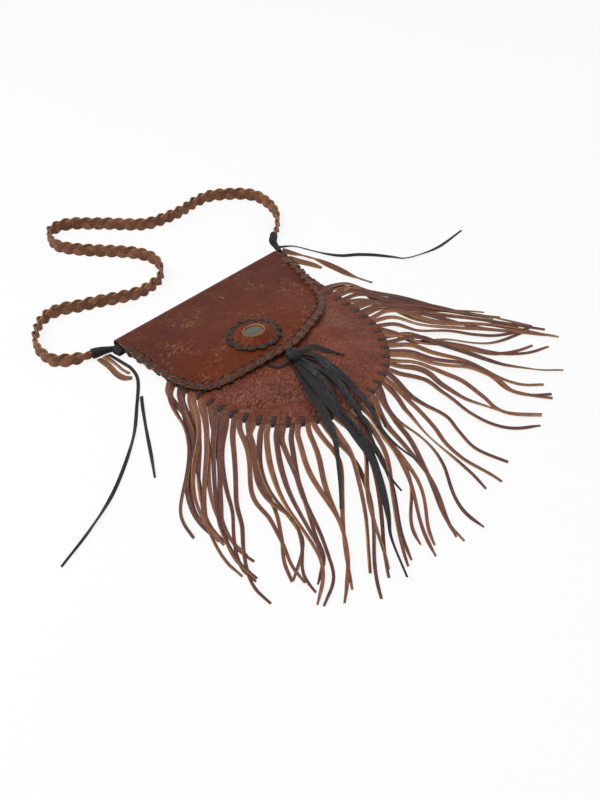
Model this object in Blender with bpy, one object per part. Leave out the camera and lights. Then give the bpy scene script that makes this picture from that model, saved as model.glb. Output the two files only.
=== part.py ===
# Fringed leather bag, lying flat on its back with the flap closed.
# Metres, +Z up. +X runs along the top fold, +Y points from the round bottom to the fold.
# The origin is on the surface, under the middle of the back panel.

import math

import bmesh
import bpy
from mathutils import Matrix, Vector
from mathutils.geometry import delaunay_2d_cdt

# Clearance that touching pieces keep, and the looser one of lacing on a curved sheet
GAP = 0.0003
LOOSE_GAP = 0.0005

# Leather and lace
LEATHER = 0.0012
FRINGE_THICKNESS = 0.0011
LACE_THICKNESS = 0.0008
LACE_WIDTH = 0.0030

# Pouch: straight sides that lean in, then a round bottom
POUCH_HALF_WIDTH = 0.110
POUCH_SIDE_LENGTH = 0.1305
POUCH_RADIUS = 0.102
MOUTH_SETBACK = 0.014
MOUTH_GAPE = 0.0017
BELLY_RISE = 0.0115
FLANGE_WIDTH = 0.013
SHOULDER_WIDTH = 0.062
RIM_SLOPE_WIDTH = 0.010

# Whip lacing of the seam, and the loops that carry the strap at the corners
SEAM_PITCH = 0.0137
SEAM_INSET = 0.0085
SEAM_END = 0.018
CORNER_LOOP_AT = 0.0115
CORNER_LOOP_REACH = 0.0075
CORNER_LOOP_HEIGHT = 0.0042

# Flap outline as shares of the half width and of the flap's depth, hand cut and not quite even
FLAP_DEPTH = 0.1385
FLAP_SLACK = 0.0015
FLAP_SHAPE = [
    (-0.990, 0.000), (-1.005, 0.190), (-1.000, 0.440), (-0.965, 0.680), (-0.855, 0.832),
    (-0.670, 0.925), (-0.440, 0.972), (-0.180, 0.994), (0.015, 1.000), (0.215, 0.960),
    (0.450, 0.888), (0.640, 0.800), (0.795, 0.655), (0.900, 0.462), (0.980, 0.246),
    (1.005, 0.088), (0.995, 0.000),
]
FLAP_PITCH = 0.0112
FLAP_INSET = 0.0068
FLAP_LACE_END = 0.016
FLAP_SLANT = 0.0022
FOLD_TUCK_ANGLE = math.radians(140)

# Rosette on the flap: a domed leather disc laced round its edge, with a mirror in its middle
ROSETTE_CENTRE = (-0.0155, 0.0125)
ROSETTE_RADIUS = 0.0255
ROSETTE_DOME = 0.0042
ROSETTE_STITCHES = 18
ROSETTE_INSET = 0.0050
ROSETTE_FLAT_RIM = 0.0080
ROSETTE_INNER_RIM = 0.0110
ROSETTE_DOME_RUN = 0.0064
MIRROR_HALF_LENGTH = 0.0120
MIRROR_HALF_WIDTH = 0.0105
MIRROR_THICKNESS = 0.0052
MIRROR_BEVEL = 0.0010

# Fringe: key strips by their share of the way round, with the offset from seam to tip
FRINGE_START = 0.079
HEADER_MARGIN = 0.0025
STRIP_SPLIT = 0.0006
STRIP_NECK_WIDTH = 0.0042
STRIP_TIP_WIDTH = 0.0034
STRIP_WAVE = 0.0040
STRIP_WAVES = 1.1
STRIP_PHASE = 1.5
STRIP_LEAD = 0.030
STRIP_TRAIL = 0.060
STRIP_STATIONS = [0.055, 0.14, 0.30, 0.50, 0.74, 1.0]
FRINGE_REACH = [
    (0.00, -0.100, -0.136), (0.13, -0.109, -0.120), (0.24, -0.109, -0.126), (0.40, -0.148, -0.146),
    (0.49, -0.100, -0.170), (0.60, -0.040, -0.181), (0.65, -0.022, -0.166), (0.69, 0.020, -0.182),
    (0.75, 0.072, -0.166), (0.79, 0.114, -0.134), (0.90, 0.104, -0.165), (1.00, 0.100, -0.171),
]

# Strap: a flat braid that stands on its edge, here a plain tube along its route
STRAP_RADIUS = 0.0070
STRAP_SAMPLES = 52
STRAP_ROUTE = [
    (-0.1338, 0.1131), (-0.148, 0.117), (-0.161, 0.124), (-0.170, 0.134), (-0.171, 0.151),
    (-0.167, 0.166), (-0.158, 0.178), (-0.146, 0.189), (-0.131, 0.195), (-0.116, 0.193),
    (-0.100, 0.185), (-0.081, 0.177), (-0.061, 0.167), (-0.042, 0.160), (-0.025, 0.160),
    (-0.009, 0.165), (0.004, 0.180), (0.008, 0.199), (0.002, 0.216), (-0.010, 0.233),
    (-0.025, 0.250), (-0.039, 0.267), (-0.050, 0.285), (-0.051, 0.300), (-0.043, 0.316),
    (-0.028, 0.319), (-0.013, 0.312), (0.001, 0.298), (0.015, 0.284), (0.030, 0.267),
    (0.045, 0.254), (0.064, 0.249), (0.089, 0.247), (0.113, 0.250), (0.133, 0.248),
    (0.149, 0.238), (0.164, 0.224), (0.172, 0.208), (0.170, 0.185), (0.160, 0.163),
    (0.143, 0.146), (0.1275, 0.1350),
]

# Lashings from the strap's ends to the corner loops, each point with its radius and height
LASHING_LEFT = [
    (-0.1328, 0.1128, 0.0070, 0.0055), (-0.1270, 0.1115, 0.0065, 0.0050),
    (-0.1212, 0.1106, 0.0052, 0.0034), (-0.1164, 0.1096, 0.0040, 0.0021),
    (-0.1134, 0.1074, 0.0034, 0.0017), (-0.1131, 0.1035, 0.0033, 0.0017),
    (-0.1131, 0.0995, 0.0033, 0.0017),
]
LASHING_RIGHT = [
    (0.1264, 0.1342, 0.0070, 0.0055), (0.1222, 0.1302, 0.0067, 0.0050),
    (0.1196, 0.1225, 0.0055, 0.0038), (0.1172, 0.1150, 0.0042, 0.0026),
    (0.1142, 0.1080, 0.0034, 0.0017), (0.1131, 0.1035, 0.0033, 0.0017),
    (0.1131, 0.0995, 0.0033, 0.0017),
]

# Loose ends: dark laces and the brown strands that the braid ends in
LACE_TAIL_RADIUS = 0.0017
LACE_TAILS = {
    "lace_tail_left_long": [
        (-0.1222, 0.1069), (-0.1205, 0.088), (-0.1200, 0.074), (-0.1265, 0.0565), (-0.149, 0.030),
        (-0.181, -0.004), (-0.231, -0.042), (-0.274, -0.064), (-0.315, -0.080),
    ],
    "lace_tail_left_short": [
        (-0.1385, 0.0362), (-0.149, 0.021), (-0.165, -0.004), (-0.181, -0.030), (-0.197, -0.055),
    ],
    "lace_tail_right": [
        (0.1242, 0.1231), (0.137, 0.113), (0.145, 0.094), (0.153, 0.076), (0.162, 0.063), (0.176, 0.052),
        (0.188, 0.039), (0.200, 0.022), (0.207, 0.012), (0.224, 0.005), (0.251, 0.000), (0.292, 0.003),
    ],
}
STRAND_TAIL_RADIUS = 0.0021
STRAND_TAILS = {
    "strand_tail_left_outer": [
        (-0.1340, 0.1071), (-0.1335, 0.092), (-0.1355, 0.078), (-0.1340, 0.068), (-0.1285, 0.0625),
    ],
    "strand_tail_left_inner": [
        (-0.1275, 0.1067), (-0.1270, 0.090), (-0.1275, 0.079), (-0.1265, 0.070),
    ],
    "strand_tail_right_outer": [
        (0.1216, 0.1146), (0.1255, 0.104), (0.1305, 0.093), (0.136, 0.078), (0.138, 0.064), (0.140, 0.048),
        (0.142, 0.028), (0.148, 0.006),
    ],
    "strand_tail_right_inner": [
        (0.1165, 0.0995), (0.1205, 0.087), (0.1255, 0.075), (0.1290, 0.062),
    ],
}
TAIL_POINT_STEP = 0.010

# Tassel of dark thongs tied at the flap's tip. Each has its full width, its layer in the bundle at
# the knot and at its end, and its route from the knot's centre.
KNOT_HALF_SIZE = (0.0085, 0.0070, 0.0050)
KNOT_ASIDE = -0.0106
KNOT_BEYOND_TIP = 0.0106
THONG_THICKNESS = 0.0009
THONG_ROOT_WIDTH = 0.0028
THONG_TIP_WIDTH = 0.0020
THONG_FULL_AT = 0.20
THONG_TAPER_FROM = 0.35
THONG_STEP = 0.014
THONG_FLOAT = 0.0006
DRAPE_RUN = 0.022
THONGS = [
    (0.0080, 0, 0, [
        (-0.0070, -0.0044), (-0.0148, -0.0245), (-0.0200, -0.0430), (-0.0248, -0.0622), (-0.0350, -0.0826),
        (-0.0484, -0.1040), (-0.0668, -0.1247), (-0.0834, -0.1424), (-0.1015, -0.1606),
    ]),
    (0.0115, 1, 0, [
        (-0.0037, -0.0066), (-0.0089, -0.0265), (-0.0112, -0.0474), (-0.0160, -0.0691), (-0.0216, -0.0924),
        (-0.0310, -0.1176), (-0.0389, -0.1383), (-0.0508, -0.1576), (-0.0664, -0.1789), (-0.0801, -0.1959),
        (-0.0956, -0.2133), (-0.1166, -0.2489),
    ]),
    (0.0060, 2, 2, [
        (-0.0008, -0.0073), (-0.0023, -0.0306), (-0.0019, -0.0461), (-0.0063, -0.0596), (-0.0148, -0.0794),
        (-0.0191, -0.0963), (-0.0254, -0.1122),
    ]),
    (0.0070, 3, 2, [
        (0.0015, -0.0072), (0.0037, -0.0273), (0.0079, -0.0417), (0.0055, -0.0599), (0.0002, -0.0792),
        (-0.0065, -0.0945), (-0.0125, -0.1102), (-0.0271, -0.1286), (-0.0354, -0.1382),
    ]),
    (0.0060, 0, 0, [
        (0.0037, -0.0066), (0.0061, -0.0169), (0.0087, -0.0330), (0.0075, -0.0501), (0.0036, -0.0670),
        (-0.0029, -0.0860), (-0.0112, -0.1040), (-0.0216, -0.1235), (-0.0351, -0.1456), (-0.0446, -0.1672),
        (-0.0491, -0.1828),
    ]),
    (0.0050, 1, 0, [
        (0.0057, -0.0056), (0.0123, -0.0187), (0.0133, -0.0365), (0.0156, -0.0527), (0.0136, -0.0729),
        (0.0112, -0.0879), (0.0117, -0.1002), (0.0050, -0.1125), (0.0000, -0.1188),
    ]),
    (0.0080, 2, 1, [
        (0.0074, -0.0040), (0.0149, -0.0134), (0.0139, -0.0305), (0.0158, -0.0473), (0.0160, -0.0616),
        (0.0102, -0.0812), (0.0043, -0.0970), (-0.0041, -0.1147), (-0.0106, -0.1377), (-0.0125, -0.1538),
        (-0.0125, -0.1679),
    ]),
    (0.0050, 3, 0, [(0.0087, -0.0013), (0.0218, -0.0038), (0.0298, -0.0149), (0.0403, -0.0290)]),
]
TASSEL_LACE_ROUTE = [
    (-0.0270, 0.0190), (-0.0310, 0.0095), (-0.0262, 0.0010), (-0.0180, -0.0012), (-0.0092, -0.0004),
]

# Mesh fineness
TANGENT_REACH = 0.002
STRIP_TANGENT_REACH = 0.01
PANEL_EDGE_STEP = 0.0105
PANEL_GRID_STEP = 0.026
FLANGE_LINE_STEP = 0.013
FLAP_EDGE_STEP = 0.0115
FOLD_COLUMNS = 10
FOLD_STEPS = 8
ROSETTE_POINTS = 36
ROSETTE_RING_POINTS = 24
SEAT_POINTS = 18

# Heights of the seam's layers, each resting on the one below
RIM_BOTTOM = LACE_THICKNESS + 2 * GAP
FRINGE_BOTTOM = RIM_BOTTOM + LEATHER + GAP
FRONT_BOTTOM = FRINGE_BOTTOM + FRINGE_THICKNESS + GAP
FRONT_RIM_TOP = FRONT_BOTTOM + LEATHER
LACE_TOP = FRONT_RIM_TOP + GAP + LACE_THICKNESS
FLAP_RIM_BOTTOM = LACE_TOP + GAP + LACE_THICKNESS + LOOSE_GAP
ROSETTE_LIFT = LACE_THICKNESS + GAP + LOOSE_GAP

# Places that follow from the sizes above
FOLD_Y = (POUCH_SIDE_LENGTH + POUCH_RADIUS) / 2
ROUND_CENTRE = Vector((0.0, FOLD_Y - POUCH_SIDE_LENGTH))
FOLD_RADIUS = (FLAP_RIM_BOTTOM + LEATHER) / 2
HINGE = Vector((0.0, FOLD_Y - FOLD_RADIUS, FOLD_RADIUS))
MOUTH_Y = FOLD_Y - MOUTH_SETBACK
BACK_TOP_Y = HINGE.y - math.sqrt((FOLD_RADIUS + GAP) ** 2 - (FOLD_RADIUS - RIM_BOTTOM - LEATHER) ** 2)
STRIP_LOW = GAP
STRIP_HIGH = 2 * GAP + FRINGE_THICKNESS
STRIP_WIDEST_TOP = STRIP_HIGH + FRINGE_THICKNESS
SHOULDER_LINE_DEPTH = FLANGE_WIDTH + SHOULDER_WIDTH / 4
PANEL_GRID_MARGIN = FLANGE_WIDTH + SHOULDER_WIDTH / 3
THONG_LAYER = THONG_THICKNESS + 2 * GAP
HEADER_DEPTH = SEAM_INSET + LACE_THICKNESS + GAP + HEADER_MARGIN

COLOURS = {
    "panel_leather": ((0.150, 0.045, 0.022), 0.42),
    "flap_leather": ((0.165, 0.048, 0.024), 0.38),
    "fringe_leather": ((0.150, 0.058, 0.030), 0.55),
    "strap_leather": ((0.200, 0.085, 0.040), 0.50),
    "dark_lace": ((0.020, 0.019, 0.017), 0.55),
    "mirror_glass": ((0.160, 0.150, 0.120), 0.15),
}


# Scene helpers


def clear_scene():
    for old in list(bpy.data.objects):
        bpy.data.objects.remove(old, do_unlink=True)


def make_collection(name):
    collection = bpy.data.collections.new(name)
    bpy.context.scene.collection.children.link(collection)
    return collection


def make_material(name, finish):
    colour, roughness = COLOURS[finish]
    material = bpy.data.materials.new(name)
    material.use_nodes = True
    shader = material.node_tree.nodes["Principled BSDF"]
    shader.inputs["Base Color"].default_value = (*colour, 1.0)
    shader.inputs["Roughness"].default_value = roughness
    shader.inputs["Metallic"].default_value = 0.0
    return material


def add_mesh(collection, name, bm, finish, carrier=None):
    """Turn a mesh in world coordinates into an object; one on the flap is hung from its hinge."""
    bmesh.ops.recalc_face_normals(bm, faces=bm.faces)
    mesh = bpy.data.meshes.new(name)
    bm.to_mesh(mesh)
    bm.free()
    obj = bpy.data.objects.new(name, mesh)
    collection.objects.link(obj)
    mesh.materials.append(make_material(name, finish))
    if carrier is not None:
        mesh.transform(Matrix.Translation(-carrier.location))
        obj.parent = carrier
    return obj


# Curves and outlines


def smoothstep(t):
    t = min(max(t, 0.0), 1.0)
    return t * t * (3 - 2 * t)


def mix(a, b, t):
    return a + (b - a) * t


def smooth_curve(points, per_span=8):
    """Points along a smooth curve through the given ones, close enough to measure along."""
    points = [Vector(point) for point in points]
    padded = [2 * points[0] - points[1]] + points + [2 * points[-1] - points[-2]]
    curve = []
    for a, b, c, d in zip(padded, padded[1:], padded[2:], padded[3:]):
        for step in range(per_span):
            t = step / per_span
            curve.append(0.5 * (2 * b + (c - a) * t + (2 * a - 5 * b + 4 * c - d) * t * t
                                + (3 * b - a - 3 * c + d) * t * t * t))
    curve.append(points[-1])
    return curve


class Path:
    """A polyline that is read by the distance along it."""

    def __init__(self, points):
        self.points = points
        self.marks = [0.0]
        for a, b in zip(points, points[1:]):
            self.marks.append(self.marks[-1] + (b - a).length)
        self.length = self.marks[-1]

    def at(self, s):
        s = min(max(s, 0.0), self.length)
        for index in range(1, len(self.marks)):
            if s <= self.marks[index]:
                break
        span = self.marks[index] - self.marks[index - 1]
        return self.points[index - 1].lerp(self.points[index], (s - self.marks[index - 1]) / span)

    def tangent(self, s):
        return (self.at(s + TANGENT_REACH) - self.at(s - TANGENT_REACH)).normalized()

    def even(self, count):
        return [self.at(self.length * step / (count - 1)) for step in range(count)]


def right_of(direction):
    return Vector((direction.y, -direction.x))


# The pouch's plan, its belly and its flap


def lean_angle():
    """How far below the widest line the straight sides leave the round bottom."""
    slant = math.hypot(POUCH_HALF_WIDTH, POUCH_SIDE_LENGTH)
    return math.acos(POUCH_RADIUS / slant) - math.atan2(POUCH_SIDE_LENGTH, POUCH_HALF_WIDTH)


LEAN = lean_angle()
SIDE_RUN = math.sqrt(POUCH_HALF_WIDTH ** 2 + POUCH_SIDE_LENGTH ** 2 - POUCH_RADIUS ** 2)
ROUND_RUN = POUCH_RADIUS * (math.pi - 2 * LEAN)
SEAM_RUN = 2 * SIDE_RUN + ROUND_RUN


def seam_frame(s):
    """Place, outward direction and forward direction at distance s round the seam."""
    on_round = min(max(s - SIDE_RUN, 0.0), ROUND_RUN)
    angle = math.pi + LEAN + on_round / POUCH_RADIUS
    outward = Vector((math.cos(angle), math.sin(angle)))
    forward = Vector((-outward.y, outward.x))
    straight = min(s - SIDE_RUN, 0.0) + max(s - SIDE_RUN - ROUND_RUN, 0.0)
    return ROUND_CENTRE + POUCH_RADIUS * outward + straight * forward, outward, forward


def inside_seam(x, y):
    """Distance from a place inwards to the seam's edge, negative outside."""
    arm = Vector((x, y)) - ROUND_CENTRE
    side = Vector((math.cos(LEAN), -math.sin(LEAN)))
    along_side = abs(arm.x) * side.x + arm.y * side.y
    if arm.y < -abs(arm.x) * math.tan(LEAN):
        return POUCH_RADIUS - arm.length
    return POUCH_RADIUS - along_side


def shoulder(x, y):
    """Share of the rise from the flange to the middle, the same all along the pouch."""
    across = min(max((inside_seam(x, y) - FLANGE_WIDTH) / SHOULDER_WIDTH, 0.0), 1.0)
    return 1 - (1 - across) ** 2


def belly(x, y):
    """Share of the full rise: none at the seam and the fold, all of it over the round bottom."""
    return shoulder(x, y) * smoothstep((HINGE.y - y) / FLAP_DEPTH)


def back_bottom(x, y):
    return RIM_BOTTOM * (1 - smoothstep((inside_seam(x, y) - FLANGE_WIDTH) / RIM_SLOPE_WIDTH))


def front_bottom(x, y):
    """The front panel swells, and stands a little open at its mouth."""
    full = belly(x, y)
    return FRONT_BOTTOM + BELLY_RISE * full + MOUTH_GAPE * shoulder(x, y) * (1 - full)


def front_top(x, y):
    return front_bottom(x, y) + LEATHER


def flap_bottom(x, y):
    return FLAP_RIM_BOTTOM + (BELLY_RISE + FLAP_SLACK) * belly(x, y)


def flap_top(x, y):
    return flap_bottom(x, y) + LEATHER


def drape_height(x, y):
    """Height of what lies under a loose thong: front panel, lacing, then fringe."""
    inside = inside_seam(x, y)
    if inside >= 0:
        lacing = (LACE_TOP - FRONT_RIM_TOP) * (1 - smoothstep((inside - FLANGE_WIDTH) / FLANGE_WIDTH))
        return front_top(x, y) + lacing
    return mix(LACE_TOP, STRIP_WIDEST_TOP, smoothstep(-inside / DRAPE_RUN))


# Flat pieces cut from a plan and given a thickness


def inside_loop(point, loop):
    crossings = False
    for a, b in zip(loop, loop[1:] + loop[:1]):
        if (a.y > point.y) != (b.y > point.y):
            if point.x < (b.x - a.x) * (point.y - a.y) / (b.y - a.y) + a.x:
                crossings = not crossings
    return crossings


def is_sliver(a, b, c):
    """Whether three places lie on one line, as they do along a straight edge."""
    return abs((b - a).cross(c - a)) < GAP * GAP


def slab(outline, holes, fill, bottom, top):
    """A closed sheet over an outline with holes, between two height functions."""
    points = list(outline)
    edges = [(index, (index + 1) % len(outline)) for index in range(len(outline))]
    for hole in holes:
        first = len(points)
        points += hole
        edges += [(first + index, first + (index + 1) % len(hole)) for index in range(len(hole))]
    points += fill
    flat, _, faces, _, _, _ = delaunay_2d_cdt(points, edges, [], 0, 1e-7)
    bm = bmesh.new()
    low = [bm.verts.new((p.x, p.y, bottom(p.x, p.y))) for p in flat]
    high = [bm.verts.new((p.x, p.y, top(p.x, p.y))) for p in flat]
    border = {}
    for face in faces:
        centre = sum((flat[index] for index in face), Vector((0.0, 0.0))) / len(face)
        if is_sliver(*(flat[index] for index in face)) or not inside_loop(centre, outline):
            continue
        if any(inside_loop(centre, hole) for hole in holes):
            continue
        bm.faces.new([high[index] for index in face])
        bm.faces.new([low[index] for index in reversed(face)])
        for a, b in zip(face, face[1:] + face[:1]):
            if (b, a) in border:
                del border[(b, a)]
            else:
                border[(a, b)] = True
    for a, b in border:
        bm.faces.new((low[a], low[b], high[b], high[a]))
    bmesh.ops.delete(bm, geom=[v for v in bm.verts if not v.link_faces], context="VERTS")
    return bm


def grid_fill(outline, step, margin, keep_clear=()):
    """Grid points inside an outline, at least a margin from its edge and from other points."""
    xs = [p.x for p in outline]
    ys = [p.y for p in outline]
    fill = []
    columns = math.ceil((max(xs) - min(xs)) / step)
    rows = math.ceil((max(ys) - min(ys)) / step)
    for row in range(rows + 1):
        for column in range(columns + 1):
            shift = 0.5 * (row % 2)
            point = Vector((min(xs) + (column + shift) * step, min(ys) + (row + 0.5) * step))
            near = min((point - other).length for other in list(outline) + list(keep_clear))
            if near > margin and inside_loop(point, outline):
                fill.append(point)
    return fill


def between(a, b, count):
    return [a.lerp(b, (step + 1) / (count + 1)) for step in range(count)]


# Lacing


def seam_stitches():
    run = SEAM_RUN - 2 * SEAM_END
    count = round(run / SEAM_PITCH)
    return [SEAM_END + run * (index + 0.5) / count for index in range(count)]


def slot_at(place, outward, forward, inset, clearance):
    """The slit that a lace passes down through, just inside an edge."""
    near = place - outward * (inset - clearance)
    far = place - outward * (inset + LACE_THICKNESS + clearance)
    half = forward * (LACE_WIDTH / 2 + clearance)
    return [near - half, near + half, far + half, far - half]


def seam_slot(s):
    return slot_at(*seam_frame(s), SEAM_INSET, GAP)


def lace_section(plan, outward, forward, inner_out, outer_out, inner_z, outer_z):
    """One mitred cross-section of a lace where it turns a corner."""
    inner = plan + outward * inner_out
    outer = plan + outward * outer_out
    half = forward * (LACE_WIDTH / 2)
    return [
        (*(inner - half), inner_z), (*(inner + half), inner_z),
        (*(outer + half), outer_z), (*(outer - half), outer_z),
    ]


def stitch_sections(edge, hole, inset, bottom, top, clearance):
    """The four corners of one whip stitch, from under the edge over it and down the slit."""
    sections = []
    for frame, reach, height, way in (
        (edge, clearance, bottom, -1), (edge, clearance, top, 1),
        (hole, -inset, top, 1), (hole, -inset, bottom, -1),
    ):
        plan, outward, forward = frame
        side = 1 if reach > 0 else -1
        inner_plan = plan + outward * reach
        inner_z = height(inner_plan.x, inner_plan.y) + way * clearance
        sections.append(lace_section(plan, outward, forward, reach, reach + side * LACE_THICKNESS,
                                     inner_z, inner_z + way * LACE_THICKNESS))
    return sections


def loft(sections, closed=False):
    bm = bmesh.new()
    rings = [[bm.verts.new(corner) for corner in section] for section in sections]
    pairs = list(zip(rings, rings[1:]))
    if closed:
        pairs.append((rings[-1], rings[0]))
    sides = len(rings[0])
    for a, b in pairs:
        for index in range(sides):
            following = (index + 1) % sides
            bm.faces.new((a[index], a[following], b[following], b[index]))
    if not closed:
        bm.faces.new(rings[0])
        bm.faces.new(list(reversed(rings[-1])))
    return bm


# Pouch pieces


def panel_outline(top_y):
    """The seam from one top corner round to the other, closed by a straight top edge."""
    first = (FOLD_Y - top_y) / math.cos(LEAN)
    count = round((SEAM_RUN - 2 * first) / PANEL_EDGE_STEP)
    outline = [seam_frame(mix(first, SEAM_RUN - first, step / count))[0] for step in range(count + 1)]
    return outline + between(outline[-1], outline[0], FOLD_COLUMNS - 1)


def flange_line(top_y, depth):
    first = (FOLD_Y - top_y) / math.cos(LEAN) + depth / 2
    count = round((SEAM_RUN - 2 * first) / FLANGE_LINE_STEP)
    line = []
    for step in range(count + 1):
        place, outward, _ = seam_frame(mix(first, SEAM_RUN - first, step / count))
        line.append(place - outward * depth)
    return line


def corner_frames():
    return [seam_frame(CORNER_LOOP_AT), seam_frame(SEAM_RUN - CORNER_LOOP_AT)]


def make_back_panel(collection):
    outline = panel_outline(BACK_TOP_Y)
    holes = [seam_slot(s) for s in seam_stitches()]
    holes += [slot_at(*frame, SEAM_INSET, GAP) for frame in corner_frames()]
    fill = flange_line(BACK_TOP_Y, FLANGE_WIDTH) + flange_line(BACK_TOP_Y, FLANGE_WIDTH + RIM_SLOPE_WIDTH)
    fill += grid_fill(outline, 2 * PANEL_GRID_STEP, 2 * FLANGE_WIDTH, fill)
    bm = slab(outline, holes, fill, back_bottom, lambda x, y: back_bottom(x, y) + LEATHER)
    add_mesh(collection, "back_panel", bm, "panel_leather")


def make_front_panel(collection):
    outline = panel_outline(MOUTH_Y)
    holes = [seam_slot(s) for s in seam_stitches()]
    fill = flange_line(MOUTH_Y, FLANGE_WIDTH) + flange_line(MOUTH_Y, SHOULDER_LINE_DEPTH)
    fill += grid_fill(outline, PANEL_GRID_STEP, PANEL_GRID_MARGIN, fill)
    bm = slab(outline, holes, fill, front_bottom, front_top)
    add_mesh(collection, "front_panel", bm, "panel_leather")


def make_seam_lace(collection):
    sections = []
    for s in seam_stitches():
        frame = seam_frame(s)
        sections += stitch_sections(frame, frame, SEAM_INSET, lambda x, y: RIM_BOTTOM,
                                    lambda x, y: FRONT_RIM_TOP, GAP)
    add_mesh(collection, "seam_lace", loft(sections), "dark_lace")


def make_corner_loops(collection):
    for name, frame in zip(("corner_loop_left", "corner_loop_right"), corner_frames()):
        plan, outward, forward = frame
        low = RIM_BOTTOM - GAP
        high = RIM_BOTTOM + CORNER_LOOP_HEIGHT
        out = CORNER_LOOP_REACH
        lace = LACE_THICKNESS
        sections = [
            lace_section(plan, outward, forward, out, out + lace, low, low - lace),
            lace_section(plan, outward, forward, out, out + lace, high, high + lace),
            lace_section(plan, outward, forward, -SEAM_INSET, -SEAM_INSET - lace, high, high + lace),
            lace_section(plan, outward, forward, -SEAM_INSET, -SEAM_INSET - lace, low, low - lace),
        ]
        add_mesh(collection, name, loft(sections, closed=True), "dark_lace")


# Fringe


def fringe_reach(share):
    for a, b in zip(FRINGE_REACH, FRINGE_REACH[1:]):
        if share <= b[0]:
            break
    t = (share - a[0]) / (b[0] - a[0])
    return Vector((mix(a[1], b[1], t), mix(a[2], b[2], t)))


def strip_point(base, outward, tip, t, phase):
    """A strip leaves the seam squarely, then falls towards its tip with a slow wave."""
    fall = (tip - base).normalized()
    lead = base + outward * STRIP_LEAD
    trail = tip - fall * STRIP_TRAIL
    point = ((1 - t) ** 3) * base + 3 * t * (1 - t) ** 2 * lead + 3 * t * t * (1 - t) * trail + t ** 3 * tip
    return point + right_of(fall) * (STRIP_WAVE * t * math.sin(2 * math.pi * (STRIP_WAVES * t + phase)))


def strip_sections(base, outward, share, layer, base_width):
    tip = base + fringe_reach(share)
    phase = STRIP_PHASE * share
    rest = STRIP_HIGH if layer else STRIP_LOW
    sections = []
    for t in STRIP_STATIONS:
        point = strip_point(base, outward, tip, t, phase)
        ahead = strip_point(base, outward, tip, t + STRIP_TANGENT_REACH, phase)
        behind = strip_point(base, outward, tip, t - STRIP_TANGENT_REACH, phase)
        across = -right_of((ahead - behind).normalized())
        narrow = mix(STRIP_NECK_WIDTH, STRIP_TIP_WIDTH, t)
        half = across * (mix(base_width, narrow, smoothstep(t / STRIP_STATIONS[1])) / 2)
        low = mix(FRINGE_BOTTOM, rest, smoothstep(t / STRIP_STATIONS[1]))
        high = low + FRINGE_THICKNESS
        sections.append([(*(point - half), low), (*(point + half), low),
                         (*(point + half), high), (*(point - half), high)])
    return sections


def fringe_cells():
    """Pairs of neighbouring stitches that hold two strips between them."""
    stitches = [s for s in seam_stitches() if FRINGE_START - SEAM_PITCH / 2 <= s <= SEAM_RUN - FRINGE_START
                + SEAM_PITCH / 2]
    return list(zip(stitches, stitches[1:]))


def make_fringe(collection):
    cells = fringe_cells()
    side = LACE_WIDTH / 2 + GAP
    margin = LACE_WIDTH
    first = cells[0][0]
    last = cells[-1][1]
    outline = [seam_frame(first - margin)[0]]
    roots = []
    for a, b in cells:
        middle = (a + b) / 2
        for start, end in ((a + side, middle - STRIP_SPLIT / 2), (middle + STRIP_SPLIT / 2, b - side)):
            roots.append((start, end))
            outline += [seam_frame(start)[0], seam_frame(end)[0]]
    outline.append(seam_frame(last + margin)[0])
    for s in [last + margin] + [cell[1] for cell in reversed(cells)] + [first, first - margin]:
        place, outward, _ = seam_frame(s)
        outline.append(place - outward * HEADER_DEPTH)
    holes = [seam_slot(s) for s in [cell[0] for cell in cells] + [last]]
    bm = slab(outline, holes, [], lambda x, y: FRINGE_BOTTOM, lambda x, y: FRINGE_BOTTOM + FRINGE_THICKNESS)
    bm.verts.ensure_lookup_table()
    for index, (start, end) in enumerate(roots):
        grow_strip(bm, start, end, index, len(roots))
    add_mesh(collection, "fringe", bm, "fringe_leather")


def grow_strip(bm, start, end, index, count):
    """Replace the strip's bit of the header's edge by a strip that runs out to its tip."""
    left, _, _ = seam_frame(start)
    right, _, _ = seam_frame(end)
    corners = [(left, FRINGE_BOTTOM), (right, FRINGE_BOTTOM), (right, FRINGE_BOTTOM + FRINGE_THICKNESS),
               (left, FRINGE_BOTTOM + FRINGE_THICKNESS)]
    ring = [min(bm.verts, key=lambda v: (v.co - Vector((*plan, z))).length_squared) for plan, z in corners]
    wall = bm.faces.get(ring)
    bm.faces.remove(wall)
    base, outward, _ = seam_frame((start + end) / 2)
    share = index / (count - 1)
    for section in strip_sections(base, outward, share, index % 2, (right - left).length):
        following = [bm.verts.new(corner) for corner in section]
        for side in range(4):
            other = (side + 1) % 4
            bm.faces.new((ring[side], ring[other], following[other], following[side]))
        ring = following
    bm.faces.new(ring)


# Strap, lashings and loose ends


def add_tube(collection, name, points, finish):
    """A tube along points, each given with its radius."""
    curve = bpy.data.curves.new(name, "CURVE")
    curve.dimensions = "3D"
    curve.bevel_depth = 1.0
    curve.bevel_resolution = 2
    curve.use_fill_caps = True
    spline = curve.splines.new("POLY")
    spline.points.add(len(points) - 1)
    for target, (x, y, z, radius) in zip(spline.points, points):
        target.co = (x, y, z, 1.0)
        target.radius = radius
    obj = bpy.data.objects.new(name, curve)
    collection.objects.link(obj)
    curve.materials.append(make_material(name, finish))
    return obj


def add_lying_cord(collection, name, route, radius, count, finish):
    """A cord that lies on the surface, read from a smooth curve through its route."""
    path = Path(smooth_curve(route))
    points = [(p.x, p.y, radius + GAP, radius) for p in path.even(count)]
    add_tube(collection, name, points, finish)


def make_strap(collection):
    add_lying_cord(collection, "strap", STRAP_ROUTE, STRAP_RADIUS, STRAP_SAMPLES, "strap_leather")
    add_tube(collection, "lashing_left", LASHING_LEFT, "dark_lace")
    add_tube(collection, "lashing_right", LASHING_RIGHT, "dark_lace")


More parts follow.
